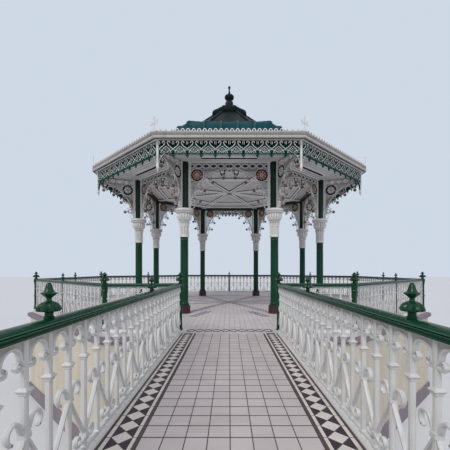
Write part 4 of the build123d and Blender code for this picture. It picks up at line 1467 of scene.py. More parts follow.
@dataclass
class Columns:
    """The columns: plinth, moulded base, shaft, leafed capital and the post over it."""

    ring: float = COLUMN_RING
    leaves: int = 12
    flutes: int = 16
    eggs: int = 28
    cup_foot: float = 3.258
    dart_foot: float = 3.468
    egg_middle: float = 3.755

    def leaf(self, foot: float, height: float, reach: float, width: float) -> Shape:
        """A leaf that stands against the bell and rolls over at its tip.

        Args:
            foot: its distance from the column's axis at the foot.
            height: how high it stands.
            reach: how far its tip rolls outward.
            width: its greatest width.

        Returns:
            The leaf, standing at the origin's height, facing +X.
        """
        rows, half = 7, 3
        points = []
        for row in range(rows):
            share = row / (rows - 1)
            out = foot + reach * share ** 2.2
            up = height * (share - 0.24 * share ** 6)
            swell = 0.55 + 0.45 * math.sin(math.pi * min(share * 1.15, 1.0))
            spread = width / 2 * swell * (1 - 0.55 * share ** 5)
            for column in range(-half, half + 1):
                side = column / half
                notch = 1 - 0.12 * (row % 2)
                rib = 0.012 * (1 - abs(side)) + 0.006 * math.cos(side * math.pi * 3)
                points.append((out + rib, side * spread * notch, up - 0.012 * side * side))
        wide = 2 * half + 1
        front = [(r * wide + c, r * wide + c + 1, (r + 1) * wide + c + 1, (r + 1) * wide + c)
            for r in range(rows - 1) for c in range(wide - 1)]
        count = len(points)
        points += [(x - 0.016, y, z - 0.004) for x, y, z in points]
        back = [tuple(index + count for index in reversed(face)) for face in front]
        rim = [*range(wide), *[r * wide + wide - 1 for r in range(1, rows)]]
        rim += [(rows - 1) * wide + c for c in range(wide - 2, -1, -1)]
        rim += [r * wide for r in range(rows - 2, 0, -1)]
        sides = [(a, b, b + count, a + count) for a, b in zip(rim, rim[1:] + rim[:1])]
        return Shape().add(points, front + back + sides)

    def capital(self) -> Shape:
        """Neck ring, reeded drum, a cup of leaves, the carved bowl and the abacus.

        Returns:
            The capital, at its height over the deck.
        """
        neck = mm((150, 2830), (182, 2836), (187, 2852), (180, 2872), (166, 2882), (178, 2896), (178, 2914),
            (150, 2924))
        ground = mm((152, 2900), (154, 3420), (185, 3450), (232, 3500), (252, 3580), (256, 3660),
            (246, 3710), (292, 3745), (292, 3810))
        bowl = mm((170, 3436), (214, 3456, 0.1), (252, 3492, 0.16), (274, 3535, 0.17), (288, 3585, 0.17),
            (290, 3630, 0.17), (280, 3672, 0.15), (245, 3700))
        lip = mm((246, 3712), (270, 3716), (300, 3732), (318, 3752), (318, 3772), (290, 3780))
        slab = mm((285, 3796), (330, 3798), (337, 3806), (337, 3860), (326, 3880))
        # The drum's ground behind the reeds and leaves takes the darker grey-white, painted shade in the
        # capital's hollows.
        made = turned(ground, 40, tone=1).join([turned(level, 40) for level in (neck, lip, slab)])
        made += turned(bowl, 64, self.flutes)
        bead = ((0.03, -0.02), (0.004, -0.013), (0.0, 0.0), (0.004, 0.013), (0.03, 0.02))
        for height, radius in ((3.246, 0.18), (3.415, 0.184)):
            made += turned([(radius - back, height + rise) for back, rise in bead], 40)
        reed = strap([(0.0, 2.915), (0.0, 3.235)], 0.042, 0.026)
        made += reed.placed(spin(math.pi / 2)).repeated(around(0.158, self.flutes, 0.0))
        cup = self.leaf(0.166, 0.175, 0.052, 0.082)
        made += cup.placed(shift(z=self.cup_foot)).repeated(around(0.0, self.leaves, 0.0))
        dart = self.leaf(0.222, 0.15, 0.052, 0.052)
        between = around(0.0, self.flutes, math.pi / self.flutes)
        made += dart.placed(shift(z=self.dart_foot)).repeated(between)
        egg = turned(mm((6, -20), (19, -8), (17, 12), (5, 22)), 6)
        places = [shift(z=self.egg_middle) @ place for place in around(0.318, self.eggs, 0.0)]
        return made.join([egg.repeated(places)])

    def build(self) -> None:
        """Makes every column."""
        places = around(self.ring)
        plinth = mm((215, 0), (215, 35), (207, 45), (207, 200), (203, 230), (212, 240), (212, 262),
            (200, 275), (198, 290))
        wide = [(radius / HALF_COS, height) for radius, height in plinth]
        Piece.show("column_plinths_moulded", turned(wide, SIDES, start=HALF_TURN).repeated(places),
            [Tone.PLINTH], ["column_plinths"])
        base = mm((183, 290), (185, 300), (185, 312), (176, 318), (183, 328), (186, 340), (183, 352),
            (168, 360), (158, 376), (156, 392), (166, 400), (170, 410), (166, 420), (152, 428), (147, 445),
            (145, 470))
        Piece.show("column_bases_moulded", turned(base, 40).repeated(places), [Tone.GREEN], ["column_bases"])
        shaft = mm((145.5, 465), (149, 485), (149, 950), (155, 958), (157, 970), (155, 982), (149, 990),
            (148, 1800), (146, 2700), (150, 2708), (152, 2718), (150, 2728), (146, 2736), (146, 2800),
            (151, 2815), (152, 2832))
        Piece.show("column_shafts_round", turned(shaft, 40).repeated(places), [Tone.GREEN],
            ["column_shafts"])
        Piece.show("column_capitals_carved", self.capital().repeated(places), [Tone.WHITE, Tone.WEB],
            ["column_capitals"])
        # The upper posts take the darker green, painted shade under the ceiling.
        post = mm((166, 3880), (166, 3900), (152, 3912), (150, 3940), (150, 5220), (156, 5235), (156, 5250),
            (150, 5262), (152, 5340), (158, 5460), (166, 5580), (166, 5620))
        Piece.show("upper_posts_round", turned(post, 32).repeated(places), [Tone.UPPER], ["upper_posts"])


@dataclass
class Castings:
    """The fretted half castings that arch over each bay and reach out to each eaves corner."""

    half_bay: float = COLUMN_RING * HALF_SIN
    apothem: float = COLUMN_RING * HALF_COS
    ring: float = COLUMN_RING
    foot: float = 3.88
    top: float = SOFFIT
    band: float = 0.26
    stile_in: float = 0.162
    stile_out: float = 0.254
    centre_height: float = 3.96
    rim: float = 1.435
    thickness: float = 0.038
    hole_pitch: float = 0.277
    hole_offset: float = 0.038
    rosette: Flat = (0.477, 5.157)

    def polar(self, radius: float, angle: float) -> Flat:
        """A point of the arch, by its radius and its angle in degrees from the crown."""
        turn = math.radians(angle)
        return (self.half_bay - radius * math.sin(turn), self.centre_height + radius * math.cos(turn))

    def on_arch(self, radius: float, angle: float) -> Matrix:
        """The move of what stands upright at the origin to a place on the arch."""
        x, z = self.polar(radius, angle)
        return shift(x, 0, z) @ spin(-math.radians(angle), "Y")

    def stile(self, reach: float) -> Shape:
        """The stile against the post and the pierced band along the top.

        Args:
            reach: how far the band runs from the column.

        Returns:
            The stile and the band.
        """
        depth = self.thickness
        post = oblong((self.stile_in, self.foot), (self.stile_out, self.top))
        made = plate(post, [], depth * 0.3)
        for x in (self.stile_in + 0.011, self.stile_out - 0.011):
            made += strap([(x, self.foot), (x, self.top)], 0.022, depth)
        low = self.top - self.band
        middle = low + self.band / 2
        pitch, swing = self.hole_pitch, self.band / 2 - 0.058
        places = [self.half_bay - self.hole_offset - number * pitch for number in range(6)]
        near, far = self.stile_out + 0.012, reach - 0.014
        holes = []
        for x in places:
            if x - 0.06 < far:
                oval = hoop(0.1, 20, (x, middle), 0.64)
                holes.append([(min(max(across, near), far), z) for across, z in oval])
        for x in [place - pitch / 2 for place in places[:-1]]:
            for way in (-1, 1):
                if x + 0.034 < far:
                    holes.append([(x - 0.03, middle + way * 0.1), (x, middle + way * 0.048),
                        (x + 0.03, middle + way * 0.1)])
        band = oblong((self.stile_out, low), (reach, self.top))
        made += plate(band, holes, depth * 0.28, 3)
        made += [strap([(self.stile_out, z), (reach, z)], 0.02, depth * 0.8, tone=3)
            for z in (low + 0.012, self.top - 0.012)]
        steps = max(8, round((reach - self.stile_out) / 0.028))
        for way in (-1, 1):
            wave = []
            for step in range(steps + 1):
                x = self.stile_out + (reach - self.stile_out) * step / steps
                swell = math.cos(math.pi * (self.half_bay - self.hole_offset - x) / pitch)
                wave.append((x, middle + way * swing * swell))
            made += strap(wave, 0.025, depth * 0.7)
        return made

    def pendant(self, angle: float) -> Shape:
        """A ring on the rim with a heart in it, and a stem that ends in a banded ball.

        Args:
            angle: its place in degrees from the crown.

        Returns:
            The pendant.
        """
        depth = self.thickness
        made = strap(hoop(0.078, 12), 0.04, depth * 0.9, closed=True, tone=3)
        if angle < 20:
            # A near-black ring round each crown pendant's ring and a dark V under it paint the shade round
            # the casting.
            made += strap(hoop(0.094, 12), 0.02, depth, closed=True, tone=2)
            lobe = bend((0.0, -0.052), (-0.078, 0.0), (-0.052, 0.065), (0.0, 0.024), 5)
            heart = mirrored(lobe, shared=1)[:-1]
            # The heart takes the brighter white, painted light.
            made += plate(heart, [], depth * 0.2, 5, -depth * 0.3)
            made += [strap([(way * 0.092, -0.05), (way * 0.02, -0.185)], 0.026, depth * 0.9, tone=2)
                for way in (-1, 1)]
        for way in (-1, 1):
            curl = bend((way * 0.016, -0.078), (way * 0.03, -0.115), (way * 0.075, -0.125),
                (way * 0.082, -0.085), 4)
            made += strap(curl, 0.022, depth * 0.8, tip=0.8, tone=3)
        made += strap([(0, -0.072), (0, -0.17)], 0.034, depth * 0.8, tone=3)
        cup = turned(mm((14, 52), (38, 44), (52, 22), (46, 12)), 12)
        ball = turned(mm((14, -54), (41, -36), (54, -4), (46, 28), (14, 52)), 12, tone=4)
        made += [shape.placed(shift(z=-0.222) @ Matrix.Scale(1.28, 4)) for shape in (cup, ball)]
        return made.placed(self.on_arch(self.rim - 0.09, angle))

    def foil(self, angle: float) -> Shape:
        """The cusped opening between two pendants, with a fringe of small curls over it.

        Args:
            angle: its place in degrees from the crown.

        Returns:
            The foil.
        """
        depth = self.thickness
        made = strap(arc((0, -0.112), 0.122, -28, 208, 12), 0.026, depth * 0.9, tip=0.8, root=0.8)
        for way in (-1, 1):
            web = [(way * 0.03, 0.0), (way * 0.1, -0.03), (way * 0.165, 0.004), (way * 0.165, 0.034),
                (way * 0.03, 0.05)]
            hole = hoop(0.017, 6, (way * 0.112, 0.008))
            made += plate(web, [hole], depth * 0.22, 3)
        return made.placed(self.on_arch(self.rim - 0.05, angle))

    def rose(self, gilt: bool) -> Shape:
        """The rosette: a white hoop, a scalloped dark ring and eight petals round a boss.

        Args:
            gilt: whether its petals and ground are gold, as over the bays, or white on dark.

        Returns:
            The rosette.
        """
        depth = self.thickness
        # The scalloped ring, and on the brackets the ground and the petals' outlines, take the near-black
        # finish that paints shade round the rosette.
        ground, petals = (1, 1) if gilt else (2, 0)
        made = strap(hoop(0.244, 36), 0.018, depth, closed=True)
        scallops = 14
        rim = []
        for index in range(scallops * 6):
            turn = index * math.tau / (scallops * 6)
            reach = 0.212 + 0.022 * abs(math.cos(turn * scallops / 2))
            rim.append((math.cos(turn) * reach, math.sin(turn) * reach))
        made += plate(rim, [hoop(0.18, 24)], depth * 0.3, tone=2)
        made += plate(hoop(0.184, 24), [hoop(0.045, 12)], depth * 0.12, tone=ground)
        for index in range(8):
            turn = spin(-index * math.pi / 4, "Y")
            side = bend((0.04, 0.0), (0.07, 0.048), (0.14, 0.062), (0.168, 0.0), 5)
            petal = mirrored(side, (1, -1), 1)[:-1]
            made += plate(petal, [], depth * 0.32, petals).placed(turn)
            edge = strap(side, 0.012, depth * 0.8, tip=0.7, root=0.7, tone=0 if gilt else 2)
            made += edge.placed(turn)
            bud = turned(mm((6, -18), (15, 0), (6, 18)), 6)
            place = spin(-(index + 0.5) * math.pi / 4, "Y") @ shift(0.158)
            made += bud.placed(place @ spin(math.pi / 2, "X"))
        made += strap(hoop(0.048, 16), 0.014, depth, closed=True, tone=0)
        boss = turned(mm((4, -30), (26, -18), (32, 0), (26, 18), (4, 30)), 12, tone=1)
        made += boss.placed(spin(math.pi / 2, "X"))
        return made.placed(shift(self.rosette[0], 0, self.rosette[1]))

    def lattice(self, reach: float) -> Shape:
        """The net of thin bars between the rim, the stile, the rosette and the band, out to its reach.

        Args:
            reach: how far the net runs from the column.

        Returns:
            The net.
        """
        depth = self.thickness * 0.7
        made = Shape()

        def inside(x: float, z: float) -> bool:
            """Whether a point lies in the space that the net fills.

            Args:
                x: distance from the column.
                z: height over the deck.

            Returns:
                Whether the net goes there.
            """
            over_arch = math.hypot(self.half_bay - x, z - self.centre_height) > self.rim + 0.004
            off_rose = math.hypot(x - self.rosette[0], z - self.rosette[1]) > 0.245
            upright = self.foot + 0.3 < z < self.top - self.band
            return over_arch and off_rose and upright and self.stile_out < x < reach

        pitch, step, steps = 0.062, 0.012, 122
        lowest, highest = -22, 47
        for way in (-1, 1):
            for number in range(lowest, highest + 1):
                run = []
                for index in range(steps):
                    x = self.stile_out + index * step
                    z = 3.9 + number * pitch + way * (x - self.stile_out) * 1.1
                    if inside(x, z):
                        run.append((x, z))
                    elif run:
                        if len(run) > 1:
                            made += strap([run[0], run[-1]], 0.014, depth, tone=3)
                        run = []
        return made

    def scrolls(self) -> Shape:
        """The free scrolls between the rosette and the crown, and at the foot of the rim.

        Returns:
            The scrolls.
        """
        depth = self.thickness * 0.85
        made = Shape()
        for angle, size, way in ((27.0, 0.028, 1), (31.5, 0.04, -1), (36.5, 0.055, 1), (41.0, 0.06, -1)):
            x, z = self.polar(self.rim + size + 0.012, angle)
            start = 200 if way > 0 else -20
            curl = spiral((x, z), size, size * 0.35, start, start + way * 400, 14)
            made += strap(curl, 0.014, depth, tip=0.8)
        for angle in (4.0, 11.25, 18.0):
            x, z = self.polar(self.rim - 0.002, angle)
            if z < self.top - self.band:
                made += strap([(x, z), (x, self.top - self.band + 0.01)], 0.018, depth)
        ring = hoop(0.058, 20, (self.stile_out + 0.075, 4.075))
        made += strap(ring, 0.02, depth, closed=True)
        x = self.stile_out
        tail = bend((x, 3.905), (x + 0.06, 3.895), (x + 0.12, 3.93), (x + 0.13, 4.0), 7)
        made += strap(tail, 0.024, depth, tip=0.6)
        rise = bend((x, 4.3), (x + 0.03, 4.22), (x + 0.15, 4.2), (x + 0.185, 4.13), 7)
        return made.join([strap(rise, 0.02, depth, tip=0.7)])

    def half(self, reach: float, gilt: bool) -> Shape:
        """A half casting in the plane of X and Z.

        Args:
            reach: how far the casting runs from the column.
            gilt: whether its rosette is gold.

        Returns:
            The half casting.
        """
        made = self.stile(reach).join([self.rose(gilt), self.lattice(reach), self.scrolls()])
        start = math.degrees(math.asin((self.half_bay - self.stile_out) / self.rim))
        stop = math.degrees(math.asin(max(0.0, self.half_bay - reach) / self.rim))
        line = [self.polar(self.rim, start + (stop - start) * step / 28) for step in range(29)]
        made += strap(line, 0.036, self.thickness * 1.1, root=1.2, tip=0.9)
        made += [self.pendant(angle) for angle in (11.25, 33.75, 56.25, 78.75)]
        made += [self.foil(angle) for angle in (22.5, 45.0, 67.5)]
        last = self.foil(0.0)
        last.points[:, 0] = np.minimum(last.points[:, 0], reach)
        made += last
        made.points[:, 0] = np.minimum(made.points[:, 0], reach)
        return made

    def build(self) -> None:
        """Puts two halves in each bay and one out to each eaves corner."""
        tones = [Tone.WHITE, Tone.GILT, Tone.SHADE, Tone.NET, Tone.BALL, Tone.HEART]
        right = self.half(self.half_bay - 0.002, True).placed(shift(-self.half_bay, -self.apothem))
        pair = right.placed(STAY).join([right.placed(MIRROR_X)])
        for number, turn in enumerate(TURNS, start=1):
            Piece.show(f"spandrel_{number}_casting", pair.placed(turn), tones, [f"spandrel_{number}"])
        bracket = self.half(self.half_bay - 0.05, False)
        Piece.show("eaves_brackets_casting", bracket.repeated(around(self.ring)), tones, ["eaves_brackets"])


@dataclass
class Eaves:
    """Drop posts, the scrolled fret, the cornice, its cresting, the crosses and the soffit."""

    ring: float = COLUMN_RING + COLUMN_RING * HALF_SIN
    cornice_ring: float = 6.32
    under: float = 5.8
    fret_height: float = 0.435
    fret_depth: float = 0.062
    units: int = 10
    crest_count: int = 26
    gutter: float = 6.028

    def picked_and_highlit(self, path: Sequence[Flat], wide: float, share: float = 0.45, tip: float = 1.0,
            root: float = 1.0) -> Shape:
        """A green strap whose face carries a white stroke, partly picked-out paint and partly a painted
        highlight.

        Args:
            path: its centre line.
            wide: width of the green strap.
            share: width of the stroke as a share of the strap.
            tip: width at the last point as a share of the width.
            root: width at the first point as a share of the width.

        Returns:
            The strap with its stroke.
        """
        made = strap(path, wide, self.fret_depth, tip, root)
        face = -self.fret_depth / 2 - 0.001
        return made.join([strap(path, wide * share, 0.005, tip, root, tone=1, at=face)])

    def unit(self, width: float) -> Shape:
        """One repeat of the fret: two crooks over a scrolled net, green with white strokes that are partly
        picked-out paint and partly painted highlight, over a near-black strip of painted shade.

        Args:
            width: the repeat's width.

        Returns:
            The repeat, centred, hanging from height 0.
        """
        half, low = width / 2, -self.fret_height
        made = Shape()
        for way in (-1, 1):
            turn = (-30, 190) if way > 0 else (210, -10)
            crook = arc((way * 0.083, -0.064), 0.04, *turn, 7)
            foot = (way * 0.135, -0.205)
            crook += bend(crook[-1], (way * 0.042, -0.125), (way * 0.085, -0.158), foot, 3)[1:]
            crook += [(way * (half - 0.006), -0.272)]
            made += [self.picked_and_highlit(crook[:10], 0.05, 0.56, root=1.1), self.picked_and_highlit(crook[9:], 0.054, 0.34)]
            made += self.picked_and_highlit([(way * (half - 0.024), -0.024), (way * (half - 0.024), -0.128)],
                0.034, 0.62)
            net = bend((0.0, -0.182), (way * 0.045, -0.232), (way * 0.095, -0.262), (way * 0.15, -0.35), 5)
            made += self.picked_and_highlit(net + [(way * 0.172, -0.4)], 0.06, 0.22)
            foot = (way * 0.02, -0.398)
            back = bend((way * half, -0.3), (way * 0.165, -0.318), (way * 0.08, -0.33), foot, 5)
            made += self.picked_and_highlit(back, 0.058, 0.22)
            made += strap([(way * half, -0.128), (way * half, low)], 0.036, self.fret_depth)
            lobe = hoop(0.02, 8, (way * 0.168, -0.182))
            made += strap(lobe, 0.026, self.fret_depth * 0.9, closed=True)
            knob = hoop(0.017, 8, (way * (half - 0.036), -0.372))
            made += strap(knob, 0.024, self.fret_depth * 0.9, closed=True)
        eye = arc((0, -0.292), 0.03, 0, 320, 9)
        made += self.picked_and_highlit(eye[2:-2], 0.044, 0.28)
        made += strap([(0, -0.02), (0, -0.19)], 0.04, self.fret_depth * 0.8)
        # The near-black strip behind the crooks is painted shade.
        return made.join([strap([(-half, -0.06), (half, -0.06)], 0.1, 0.012, at=0.012, tone=2)])

    def leaf(self) -> Shape:
        """The small leaf that hangs under each joint of the fret.

        Returns:
            The leaf.
        """
        low = -self.fret_height
        outline = [(-0.018, low + 0.01), (-0.018, low - 0.016), (-0.034, low - 0.026), (-0.062, low - 0.03),
            (-0.06, low - 0.052), (-0.034, low - 0.066), (-0.02, low - 0.082), (-0.012, low - 0.112),
            (0, low - 0.128)]
        return plate(mirrored(outline, shared=1), [], 0.016)

    def end_piece(self) -> Shape:
        """The quadrant of scrollwork against a drop post.

        Returns:
            The quadrant.
        """
        low = -self.fret_height
        curve = bend((0.0, low - 0.315), (0.02, low - 0.19), (0.07, low - 0.05), (0.195, low + 0.006), 10)
        made = self.picked_and_highlit(curve, 0.026)
        scroll = spiral((0.058, low - 0.064), 0.038, 0.012, 160, 560, 14)
        made += [self.picked_and_highlit(scroll, 0.02),
            self.picked_and_highlit(spiral((0.022, low - 0.16), 0.02, 0.008, 100, 420, 9), 0.015)]
        return made.join([strap([(0.01, low), (0.01, low - 0.3)], 0.02, self.fret_depth)])

    def fret(self) -> Shape:
        """One side of the fret between two drop posts.

        Returns:
            The side, centred, hanging from height 0.
        """
        half = self.ring * HALF_SIN - 0.05
        width = 2 * half / self.units
        made = self.unit(width).repeated([shift((number + 0.5 - self.units / 2) * width)
            for number in range(self.units)])
        made.points[:, 0] = np.clip(made.points[:, 0], -half, half)
        made += self.leaf().repeated([shift((number + 1 - self.units / 2) * width)
            for number in range(self.units - 1)])
        for height, wide in ((-0.01, 0.022), (-self.fret_height + 0.009, 0.022)):
            made += strap([(-half, height), (half, height)], wide, self.fret_depth)
        end = self.end_piece()
        return made.join([end.placed(shift(-half)), end.placed(MIRROR_X).placed(shift(half))])

    def cross(self) -> Shape:
        """A cross with flared arms on a flared foot, facing outward along X.

        Returns:
            The cross.
        """
        centre, arm, top = 0.275, 0.14, 0.49
        made = Shape()
        for way in (-1, 1):
            half = [(0.0, 0.018), (0.045, 0.026), (0.09, 0.056), (arm, 0.082), (arm - 0.026, 0.0)]
            wing = mirrored(half, (1, -1), 1)
            made += plate([(way * x, z) for x, z in wing], [], 0.012).placed(shift(z=centre))
        stem = [(0.135, 0.0), (0.125, 0.026), (0.06, 0.048), (0.036, 0.095), (0.024, 0.17), (0.021, centre),
            (0.03, top - 0.06), (0.016, top)]
        made += plate(mirrored(stem), [], 0.012)
        boss = turned(mm((6, -17), (34, -11), (34, 11), (6, 17)), 12)
        made += boss.placed(shift(z=centre) @ spin(math.pi / 2, "X"))
        return made.placed(spin(math.pi / 2))

    def crest(self) -> Shape:
        """One loop of the cresting with a bead in it, facing outward along X.

        Returns:
            The loop.
        """
        ring = arc((0, 0.04), 0.046, -20, 200, 10)
        path = [(0.08, 0.01), (0.062, 0.014)] + ring + [(-0.062, 0.014), (-0.08, 0.01)]
        made = strap(path, 0.0275, 0.024)
        bead = turned(mm((6, 10), (16, 22), (14, 34), (4, 44)), 6, tone=1)
        made += [bead, strap([(0.0, 0.0), (0.0, 0.02)], 0.012, 0.016)]
        return made.placed(spin(math.pi / 2))

    def build(self) -> None:
        """Makes the eaves."""
        drop = mm((6, 4800), (13, 4806), (17, 4820), (12, 4834), (14, 4842), (30, 4858), (33, 4872),
            (28, 4886), (33, 4896), (44, 4906), (50, 4925), (50, 4955), (44, 4968), (44, 5300), (49, 5310),
            (49, 5335), (44, 5345), (44, 5740), (50, 5755), (50, 5800))
        Piece.show("drop_posts_turned", turned(drop, 24).repeated(around(self.ring)), [Tone.CORNICE],
            ["drop_posts"])
        side = self.fret().placed(shift(0, -self.ring * HALF_COS, self.under))
        Piece.show("eaves_frets_cast", side.repeated(TURNS), [Tone.FRET, Tone.PICKED, Tone.FRET_GROUND],
            ["eaves_frets"])
        # The cornice's face takes the darker white, painted shade.
        section = [(-0.42, 5.8), (-0.01, 5.8), (-0.004, 5.804), (-0.004, 5.813), (-0.02, 5.816),
            (-0.02, 5.826), (-0.004, 5.829), (-0.002, 5.9), (-0.014, 5.914), (-0.04, 5.918), (-0.04, 5.932),
            (-0.016, 5.935), (-0.008, 5.943), (-0.008, 5.982), (-0.022, 5.985), (-0.022, 5.993),
            (0.0, 5.996), (0.0, 6.022), (-0.006, self.gutter), (-0.42, self.gutter)]
        ring = octagon(self.cornice_ring)
        cornice = moulding(ring, section, True)
        # Near-black strips in the grooves paint the shadows in the cornice's quirks.
        for inset, low, high in ((-0.02, 5.817, 5.825), (-0.04, 5.919, 5.931), (-0.008, 5.952, 5.96),
                (-0.022, 5.985, 5.993)):
            cornice += moulding(ring, oblong((inset - 0.004, low), (inset + 0.004, high)), True, tone=1)
        # Under the front edge, dark strips and a white strip between them paint the shade and light on the
        # cornice's underside.
        for inset, outer, low, tone in ((-0.088, -0.014, 5.797, 1), (-0.16, -0.092, 5.792, 2),
                (-0.192, -0.164, 5.797, 1)):
            cornice += moulding(ring, oblong((inset, low), (outer, 5.801)), True, tone=tone)
        joints = Shape().join([block((x - 0.006, -0.003, 5.83), (x + 0.006, 0.002, 5.9), tone=1)
            for x in (-0.82, 0.86)])
        front = shift(0, -self.cornice_ring * HALF_COS + 0.004)
        cornice += joints.repeated([turn @ front for turn in TURNS])
        Piece.show("cornice_moulded", cornice, [Tone.FASCIA, Tone.QUIRK, Tone.WHITE], ["cornice"])
        reach = self.cornice_ring * HALF_COS - 0.042
        half = self.cornice_ring * HALF_SIN - 0.14
        pitch = 2 * half / self.crest_count
        loops = [turn @ shift(reach, (index + 0.5) * pitch - half, self.gutter) for turn in TURNS
            for index in range(self.crest_count)]
        strip = oblong((-0.014, self.gutter), (0.008, self.gutter + 0.012))
        rail = moulding(octagon(self.cornice_ring - 0.034), strip, True)
        Piece.show("cresting_cast", self.crest().repeated(loops).join([rail]), [Tone.WHITE, Tone.BALL],
            ["cresting"])
        crosses = [place @ shift(z=self.gutter) for place in around(self.cornice_ring - 0.042)]
        Piece.show("corner_crosses_cast", self.cross().repeated(crosses), [Tone.CORNICE], ["corner_crosses"])
        Piece.dress("soffit", Tone.BOARDS)
        Piece.show("soffit_trim", self.trim(), [Tone.TRIM, Tone.SHADE])

    def trim(self) -> Shape:
        """The soffit's beads along its edges and the narrow vent in each side, whose slot is a near-black
        strip of painted shade.

        Returns:
            The beads and vents.
        """
        column_line = COLUMN_RING * HALF_COS
        made = Shape()
        for apothem in (column_line + 0.06, self.ring * HALF_COS - 0.1):
            ring = octagon(apothem / HALF_COS)
            made += moulding(ring, [(-0.022, 5.62), (-0.018, 5.606), (0.0, 5.6), (0.018, 5.606),
                (0.022, 5.62)], True)
        # The vent's slot is a near-black block, painted shade between its two trims.
        vent = block((-1.0, -0.062, 5.602), (1.0, 0.062, 5.6195), tone=1)
        vent += [block((-1.02, side * 0.08 - 0.014, 5.6), (1.02, side * 0.08 + 0.014, 5.62))
            for side in (-1, 1)]
        return made.join([vent.repeated([turn @ shift(0, -(column_line + 0.5)) for turn in TURNS])])


@dataclass
class Ceiling:
    """The boarded ceiling with its double ribs, its octagonal mouldings and its hub."""

    height: float = 5.5
    depth: float = 0.07
    rib_half: float = 0.11
    channel_half: float = 0.045
    rings: tuple = (2.4, 3.4)
    hub: float = 0.15
    quirk: float = 0.022

    def build(self) -> None:
        """Makes the ribs and dresses the boards."""
        Piece.dress("ceiling", Tone.BOARDS)
        # The ring beam takes the nearly black green, painted shade behind the castings' ovals.
        Piece.dress("ring_beam", Tone.DEEP)
        high, low = self.height, self.height - self.depth
        wide, channel = self.rib_half, self.channel_half
        section = mirrored([(-wide, high), (-wide, low + 0.012), (0.012 - wide, low),
            (-channel - 0.012, low), (-channel, low + 0.012), (-channel, low + 0.05)])
        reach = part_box("ceiling")[1].x / HALF_COS - 0.02
        made = Shape()
        # Along each rib, near-black strips at its edges and in its channel paint shadow lines, and the
        # channel's floor takes the darker grey-white as painted shade.
        sides = [oblong((0.004 - channel, low + 0.04), (channel - 0.004, low + 0.052))]
        quirks = []
        for side in (-1, 1):
            quirks.append(oblong((side * wide, high - self.quirk), (side * (wide + self.quirk), high)))
            quirks.append(oblong((side * (channel - 0.016), low + 0.036), (side * channel, low + 0.048)))
        for tone, parts in ((0, [section]), (1, quirks), (2, sides)):
            for part in parts:
                rib = moulding([(self.hub - 0.02, 0.0), (reach, 0.0)], part, tone=tone)
                made += rib.repeated(around(0.0))
                made += [moulding(octagon(apothem / HALF_COS), part, True, tone) for apothem in self.rings]
        Piece.show("ceiling_ribs_moulded", made, [Tone.TRIM, Tone.SHADE, Tone.WEB], ["ceiling_ribs"])
        # The hub boss takes the near-black finish, painted shade.
        boss = turned([(0.15, high), (0.15, low + 0.03), (0.13, low + 0.008), (0.09, low + 0.012),
            (0.05, low + 0.001), (0.02, low + 0.001)], 32, 8)
        Piece.show("ceiling_hub", boss, [Tone.SHADE])


